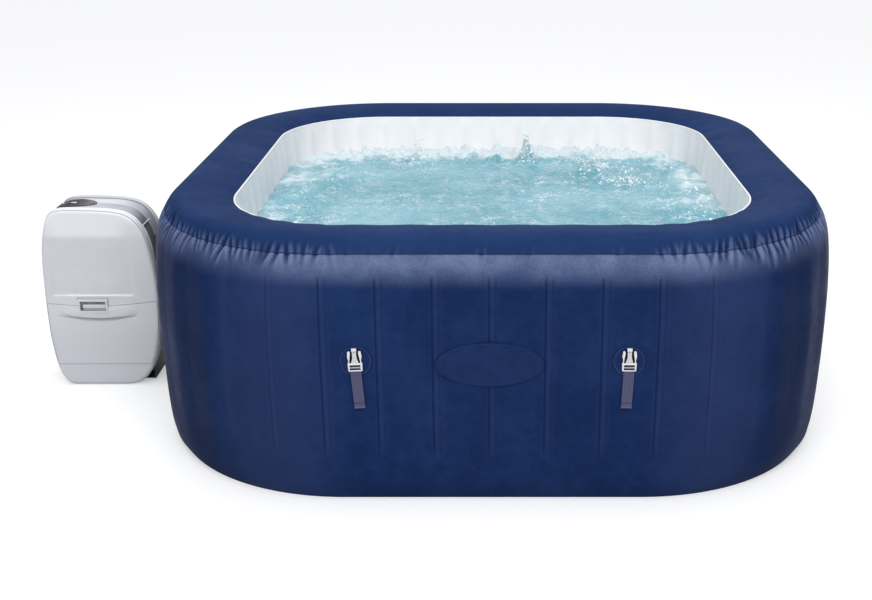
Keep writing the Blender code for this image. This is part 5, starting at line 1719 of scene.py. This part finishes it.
@dataclass
class PumpCasing:
    """Side covers, service door, core and top cover of the pump unit."""

    form: PumpForm
    face_rings: int = 96
    rim_groove: float = 0.0016
    hole: float = 0.0048
    window_half: float = 0.0370
    window_low: float = 0.2370
    window_high: float = 0.2642

    def build(self) -> None:
        """Make the casing's pieces."""
        self.near_side()
        self.far_side()
        self.core()
        self.top_cover()
        LOG.info("pump casing: near and far covers, door, latch, core and top cover")

    def face_relief(self, x: Array, z: Array) -> Array:
        """How far the near face lies behind its flat, at places on it."""
        across = ramp_between(x, -1.280, -1.262) * ramp_between(x, -1.030, -1.050)
        dish = 0.0040 * across * ramp_between(z, 0.470, 0.305) * ramp_between(z, 0.2808, 0.2843)
        off = x - MOUTH.middle
        crescent = MOUTH.low + MOUTH.rise * np.clip(off / MOUTH.half, -1.0, 1.0) ** 2
        lip = ramp_between(np.abs(off), 0.124, 0.085)
        bulge = -0.0055 * lip * ramp_between(z, 0.262, 0.232)
        bulge = bulge * ramp_between(z, crescent - 0.0035, crescent + 0.0015)
        under = 0.0030 * lip * bell(z - crescent + 0.0075, 0.0085)
        lower = -0.0012 * ramp_between(z, 0.196, 0.120) * ramp_between(z, 0.064, 0.078)
        return dish + bulge + under + lower

    def side_shell(self, name: str, outer: float, inwards: float, relief: bool) -> Piece:
        """Shell of a side cover: a wall, a rounded rim and a face.

        Args:
            name: Name of the shell.
            outer: Where its face lies along Y.
            inwards: Direction into the pump along Y, 1 or -1.
            relief: Whether the face has the near side's relief.

        Returns:
            The closed shell.
        """
        form = self.form
        rims = [(form.outline(), depth) for depth in np.linspace(form.side_depth, form.edge, 4).tolist()]
        arc = [(angle, form.edge) for angle in np.linspace(0.0, QUARTER_TURN, 9)[1:].tolist()]
        if relief:
            arc[3:3] = [(arc[2][0] + turn, form.edge - self.rim_groove) for turn in (0.035, 0.155)]
        for angle, radius in arc:
            rims.append((form.outline(form.edge - radius * math.cos(angle)),
                         form.edge - radius * math.sin(angle)))
        flat = rims[-1][0]
        centre = np.array([form.door_middle + 0.010, 0.2700])
        rings = self.face_rings if relief else 16
        for share in np.linspace(0.0, 1.0, rings + 1)[1:].tolist():
            rims.append((flat + (centre - flat) * share, 0.0))
        sheet = []
        for line, depth in rims:
            closed = np.vstack([line, line[:1]])
            into = np.full(len(closed), depth)
            if relief and depth == 0.0:
                into = into + self.face_relief(closed[:, 0], closed[:, 1])
            sheet.append(np.stack([closed[:, 0], outer + inwards * into, closed[:, 1]], axis=1))
        piece = formed_grid(name, np.array(sheet))
        weld(piece)
        if sum(face.normal.y * face.area for face in piece.data.polygons) * inwards > 0.0:
            flip(piece)
        thicken(piece, form.wall)
        return piece

    def window(self, name: str) -> Piece:
        """Cutting block for the latch window."""
        middle, near = self.form.door_middle, self.form.near
        return box(name, (middle - self.window_half, near - 2.0 * CLEAR, self.window_low),
                   (middle + self.window_half, near + 2.0 * CLEAR, self.window_high))

    def near_side(self) -> None:
        """Near cover with the service door split from it, and the door's latch."""
        form = self.form
        cover = self.side_shell("near_cover_shell", form.near, 1.0, True)
        door = cover.copy()
        door.data = cover.data.copy()
        bpy.context.scene.collection.objects.link(door)
        door.name = door.data.name = "service_door_shell"
        reach = (form.near - 0.02, form.near + 0.0145)
        cut(cover, prism("door_space", form.door_outline(form.gap), *reach))
        cut(door, prism("door_shape", form.door_outline(0.0), *reach), "INTERSECT")
        cut(door, self.window("latch_window"))
        for piece, body, node in ((cover, "tub", "near_side_cover"), (door, "service_door", "service_door")):
            smooth(piece, 26.0)
            FACE.dress(piece)
            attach(piece, body)
            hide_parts(node)
        self.latch()

    def latch(self) -> None:
        """Raised frame round the latch window, the sliding latch and its finger tab."""
        form = self.form
        middle, near = form.door_middle, form.near
        frame_piece = box("latch_frame", (middle - 0.0430, near - 0.0062, 0.2265),
                          (middle + 0.0430, near - 0.0002, 0.2705))
        cut(frame_piece, self.window("frame_hole"))
        bevel(frame_piece, 0.0011)
        smooth(frame_piece, 35.0)
        FACE.dress(frame_piece)
        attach(frame_piece, "service_door")
        plate = box("latch_plate", (middle - 0.0380, near + 0.0042, 0.2240),
                    (middle + 0.0380, near + 0.0063, 0.2725), 0.0004)
        lip = box("latch_lip", (middle - 0.0300, near + 0.0033, 0.2240),
                  (middle + 0.0366, near + 0.0045, 0.2450))
        tab = box("latch_tab", (middle - 0.0300, near - 0.0034, 0.2434),
                  (middle + 0.0358, near + 0.0044, 0.2545), 0.0016)
        # Painted shade: the plate seen through the window is dark grey.
        SHADED.dress(plate)
        FACE.dress(lip)
        FACE.dress(tab)
        latch = join("door_latch_slider", [plate, lip, tab])
        smooth(latch, 35.0)
        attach(latch, "door_latch")
        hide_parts("door_latch")

    def far_side(self) -> None:
        """Far cover, whose face is plain."""
        piece = self.side_shell("far_cover_shell", self.form.far, -1.0, False)
        smooth(piece, 26.0)
        CASING.dress(piece)
        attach(piece, "tub")
        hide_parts("far_side_cover")

    def core(self) -> None:
        """Dark casing between the side covers, with the foot towards the tub."""
        form = self.form
        near, far = form.between
        piece = prism("core_shell", form.outline(form.core_inset, 7), near, far)
        foot = box("core_foot", (-1.1100, near, form.core_inset), (-1.0075, far, 0.0900), 0.0040)
        cut(piece, foot, "UNION")
        space = form.core_inset + form.wall
        cut(piece, prism("core_space", form.outline(space, 7), near - CLEAR, far + CLEAR))
        cut(piece, box("foot_space", (-1.1100, near - CLEAR, space), (-1.0105, far + CLEAR, 0.0870)))
        smooth(piece, 30.0)
        CORE.dress(piece)
        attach(piece, "tub")
        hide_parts("core_casing")

    def top_cover(self) -> None:
        """Light cover over the top, its near half a step lower beyond the control panel."""
        form = self.form
        near, far = form.between
        over = [p for p in form.outline(form.cover_inset, 9).tolist()
                if p[1] > (0.4550 if p[0] < form.door_middle else 0.4300)]
        over.sort(key=lambda p: math.atan2(p[0] - form.door_middle, p[1] - 0.30))
        path = np.array(over)
        along = np.gradient(path, axis=0)
        along /= np.hypot(along[:, 0], along[:, 1])[:, None]
        inward = np.stack([along[:, 1], -along[:, 0]], axis=1)
        across = np.concatenate([np.linspace(near, form.middle - 0.0030, 8),
                                 np.linspace(form.middle - 0.0010, form.middle + 0.0030, 5),
                                 np.linspace(form.middle + 0.006, far, 8)])
        beyond = ramp_between(path[:, 0], -1.158, -1.138)[:, None]
        step = 0.0022 * beyond * ramp_between(across, form.middle + 0.0005, form.middle - 0.0030)
        crown = -0.0012 * beyond * bell(across - form.middle - 0.0015, 0.006)
        depth = step + crown
        x = path[:, :1] + inward[:, :1] * depth
        z = path[:, 1:] + inward[:, 1:] * depth
        points = np.stack(np.broadcast_arrays(x, across, z), axis=2)
        piece = formed_grid("top_cover_shell", points)
        if sum(face.normal.z for face in piece.data.polygons) < 0.0:
            flip(piece)
        thicken(piece, form.wall)
        cut(piece, box("cover_notch", (-1.0050, near - CLEAR, 0.4000), (-0.9500, form.middle, 0.4900)))
        for name in BUTTONS:
            low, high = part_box(f"button_{name}")
            middle = (low + high) * 0.5
            hole = [(0.0, 0.50), (self.hole, 0.50), (self.hole, 0.56), (0.0, 0.56)]
            cut(piece, turned("button_hole", hole, (middle[0], middle[1], 0.0), (0.0, 0.0, 1.0), 24))
        self.notch_lip(near)
        smooth(piece, 30.0)
        TOP.dress(piece)
        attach(piece, "tub")
        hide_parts("top_cover")

    def notch_lip(self, near: float) -> None:
        """Pale lip along the near half's end and down beside the near cover."""
        form = self.form
        line = [p for p in form.outline(0.0002, 9).tolist()
                if p[0] > form.door_middle and 0.3950 < p[1] < 0.4900]
        line.sort(key=lambda p: p[1])
        down = [(x, near - 0.0012, z) for x, z in line]
        top = down[-1]
        over = [(top[0] + 0.0040 * share, near + share * (form.middle - near), top[2] + 0.0030 * share)
                for share in np.linspace(0.08, 0.98, 12).tolist()]
        piece = FACE.dress(tube("notch_lip", [*down, *over], 0.0016))
        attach(piece, "tub")


@dataclass
class Fittings:
    """Ribbed caps and coupling nuts, each round its own axis and inside its CAD piece's box."""

    ribs: int = 20
    rib_depth: float = 0.0011
    edge: float = 0.0018
    dish: float = 0.0012
    steps_per_rib: int = 8
    nodes: tuple[str, ...] = ("drain_cap", "air_valve_cap", "inflation_cap", "inlet_coupling_nut",
                              "outlet_coupling_nut", "air_coupling_nut")

    def build(self) -> None:
        """Make every ribbed piece in place of its plain one."""
        for node in self.nodes:
            self.ribbed(node, *((1, 1.0) if node == "drain_cap" else (0, -1.0)))
        LOG.info("fittings: %d ribbed caps and nuts", len(self.nodes))

    def ribbed(self, node: str, axis: int, way: float) -> None:
        """Turned piece with ribs round its side and a dished end.

        Args:
            node: The CAD piece that it stands for, which is also its body.
            axis: Number of the axis that it turns about.
            way: Direction of its outer end along that axis, 1 or -1.
        """
        low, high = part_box(node)
        length = high[axis] - low[axis]
        wide = min(high[i] - low[i] for i in range(3) if i != axis)
        radius, edge = 0.5 * wide, self.edge
        profile = [(0.0, 0.0), (radius - edge, 0.0), (radius, edge), (radius, length - 1.6 * edge),
                   (radius - 0.5 * edge, length - 0.5 * edge), (radius - 1.6 * edge, length),
                   (radius - 2.6 * edge, length), (radius - 3.2 * edge, length - self.dish),
                   (0.0, length - self.dish)]
        depth = self.rib_depth * np.array([0.0, 0.0, 1.0, 1.0, 0.6, 0.0, 0.0, 0.0, 0.0])[:, None]
        steps = self.ribs * self.steps_per_rib
        groove = np.clip(0.5 - 1.2 * np.cos(self.ribs * np.linspace(0.0, FULL_TURN, steps + 1)), 0.0, 1.0)
        outwards = Vector([way if i == axis else 0.0 for i in range(3)])
        place = (low + high) * 0.5 - outwards * 0.5 * length
        piece = turned(node + "_ribbed", profile, place, outwards, steps, depth * groove)
        smooth(piece, 30.0)
        DARK_FITTING.dress(piece)
        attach(piece, node)
        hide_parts(node)


BUTTONS = ("power", "heat", "bubbles", "filter", "warmer", "cooler")


@dataclass
class Dressing:
    """Finishes for the CAD pieces whose shape stays."""

    plan: tuple[tuple[Finish, tuple[str, ...]], ...] = (
        (BASE, ("base_panel",)), (LINER, ("floor_panel", "bubble_tube")), (WEB, ("tension_web",)),
        (PANEL, ("control_panel",)), (LENS, ("display_lens",)), (LAMP, ("button_power",)),
        (BUTTON, tuple(f"button_{name}" for name in BUTTONS[1:])),
        (WHITE_FITTING, ("inlet_pipe", "outlet_pipe", "air_pipe", "filter_base", "filter_cap",
                         "outlet_grille")),
        (PAPER, ("filter_cartridge",)), (DARK_FITTING, ("drain_pipe", "air_valve")),
        (RUBBER, ("cord_gland",)), (MOTOR, ("water_pump_body", "blower_housing")),
        (ROTOR, ("impeller", "blower_fan")), (STEEL, ("heater_tube",)), (BOARD, ("circuit_board",)),
    )

    def build(self) -> None:
        """Dress each CAD piece that still shows."""
        for finish, nodes in self.plan:
            for node in nodes:
                finish.dress(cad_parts[node])
        LOG.info("dressed %d CAD pieces", sum(len(nodes) for _, nodes in self.plan))


# ---- studio


@dataclass
class Studio:
    """Camera, floor and soft lights."""

    eye: tuple[float, float, float] = (0.0, -3.4873, 1.4494)
    tilt: float = 0.3430
    lens: float = 49.9
    shift: float = -0.0646
    surround_light: float = 1.0
    side_light: float = 0.08
    floor_lift: float = 0.42
    floor_colour: Colour = (0.72, 0.72, 0.73)
    surround_colour: Colour = (0.97, 0.98, 1.0)

    def build(self) -> None:
        """Set the camera, the floor, the world and the lights."""
        scene = bpy.context.scene
        camera_data = bpy.data.cameras.new("camera")
        camera_data.lens, camera_data.sensor_width, camera_data.shift_x = self.lens, 36.0, self.shift
        camera = bpy.data.objects.new("camera", camera_data)
        camera.location = self.eye
        camera.rotation_euler = (QUARTER_TURN - self.tilt, 0.0, 0.0)
        scene.collection.objects.link(camera)
        scene.camera = camera
        self.floor()
        self.surround()
        scene.view_settings.view_transform = "Standard"
        self.light("top", (0.0, 0.3, 4.2), (0.0, 0.1, 0.0), (4.4, 4.0), 60.0)
        self.light("front_strip", (0.0, -3.5, 3.1), (0.0, -0.8, 0.5), (4.6, 0.40), 70.0)

    def surround(self) -> None:
        """White surround that is seen as white and lights the object softly."""
        world = bpy.data.worlds.new("studio")
        world.use_nodes = True
        nodes = Nodes(world.node_tree)
        seen = nodes.add("LightPath").outputs["Is Camera Ray"]
        way = nodes.parts(nodes.add("TexCoord").outputs["Generated"])
        lit = nodes.near(way[0], 0.0, 0.30, 0.85, self.surround_light, self.side_light)
        shader = world.node_tree.nodes["Background"]
        nodes.put(shader.inputs["Color"], self.surround_colour)
        nodes.put(shader.inputs["Strength"], nodes.sum("MAXIMUM", seen, lit))
        bpy.context.scene.world = world

    def floor(self) -> None:
        """Plain pale floor."""
        bpy.ops.object.select_all(action="DESELECT")
        bpy.ops.mesh.primitive_plane_add(size=60.0, location=(0.0, 0.0, -0.0005))
        piece = named("studio_floor")
        place_in_mesh(piece)
        made = bpy.data.materials.new("studio_floor")
        made.use_nodes = True
        nodes = Nodes(made.node_tree)
        lift = nodes.times(nodes.add("LightPath").outputs["Is Camera Ray"], self.floor_lift)
        for key, value in {"Base Color": self.floor_colour, "Roughness": 0.9, "Specular IOR Level": 0.1,
                           "Emission Color": (1.0, 1.0, 1.0), "Emission Strength": lift}.items():
            nodes.put(made.node_tree.nodes["Principled BSDF"].inputs[key], value)
        piece.data.materials.append(made)

    def light(self, name: str, place: Sequence[float], aim: Sequence[float], size: Point,
              power: float) -> None:
        """Soft oblong light.

        Args:
            name: Name of the light.
            place: Where it hangs.
            aim: What it points at.
            size: Its width and depth.
            power: Its power.
        """
        data = bpy.data.lights.new(name, "AREA")
        data.shape, data.energy = "RECTANGLE", power
        data.size, data.size_y = size
        lamp = bpy.data.objects.new(name, data)
        lamp.location = place
        lamp.rotation_euler = (Vector(aim) - Vector(place)).to_track_quat("-Z", "Y").to_euler()
        bpy.context.scene.collection.objects.link(lamp)


def main() -> None:
    """Build the tub and its pump, piece by piece."""
    logging.basicConfig(level=logging.INFO, format="%(name)s: %(message)s")
    form = TubForm()
    shell = TubShell(form)
    Studio().build()
    shell.build()
    STRAPS.build()
    Badge(shell).build()
    Water(form).build()
    PumpCasing(PumpForm()).build()
    Fittings().build()
    Dressing().build()


if __name__ == "__main__":
    main()
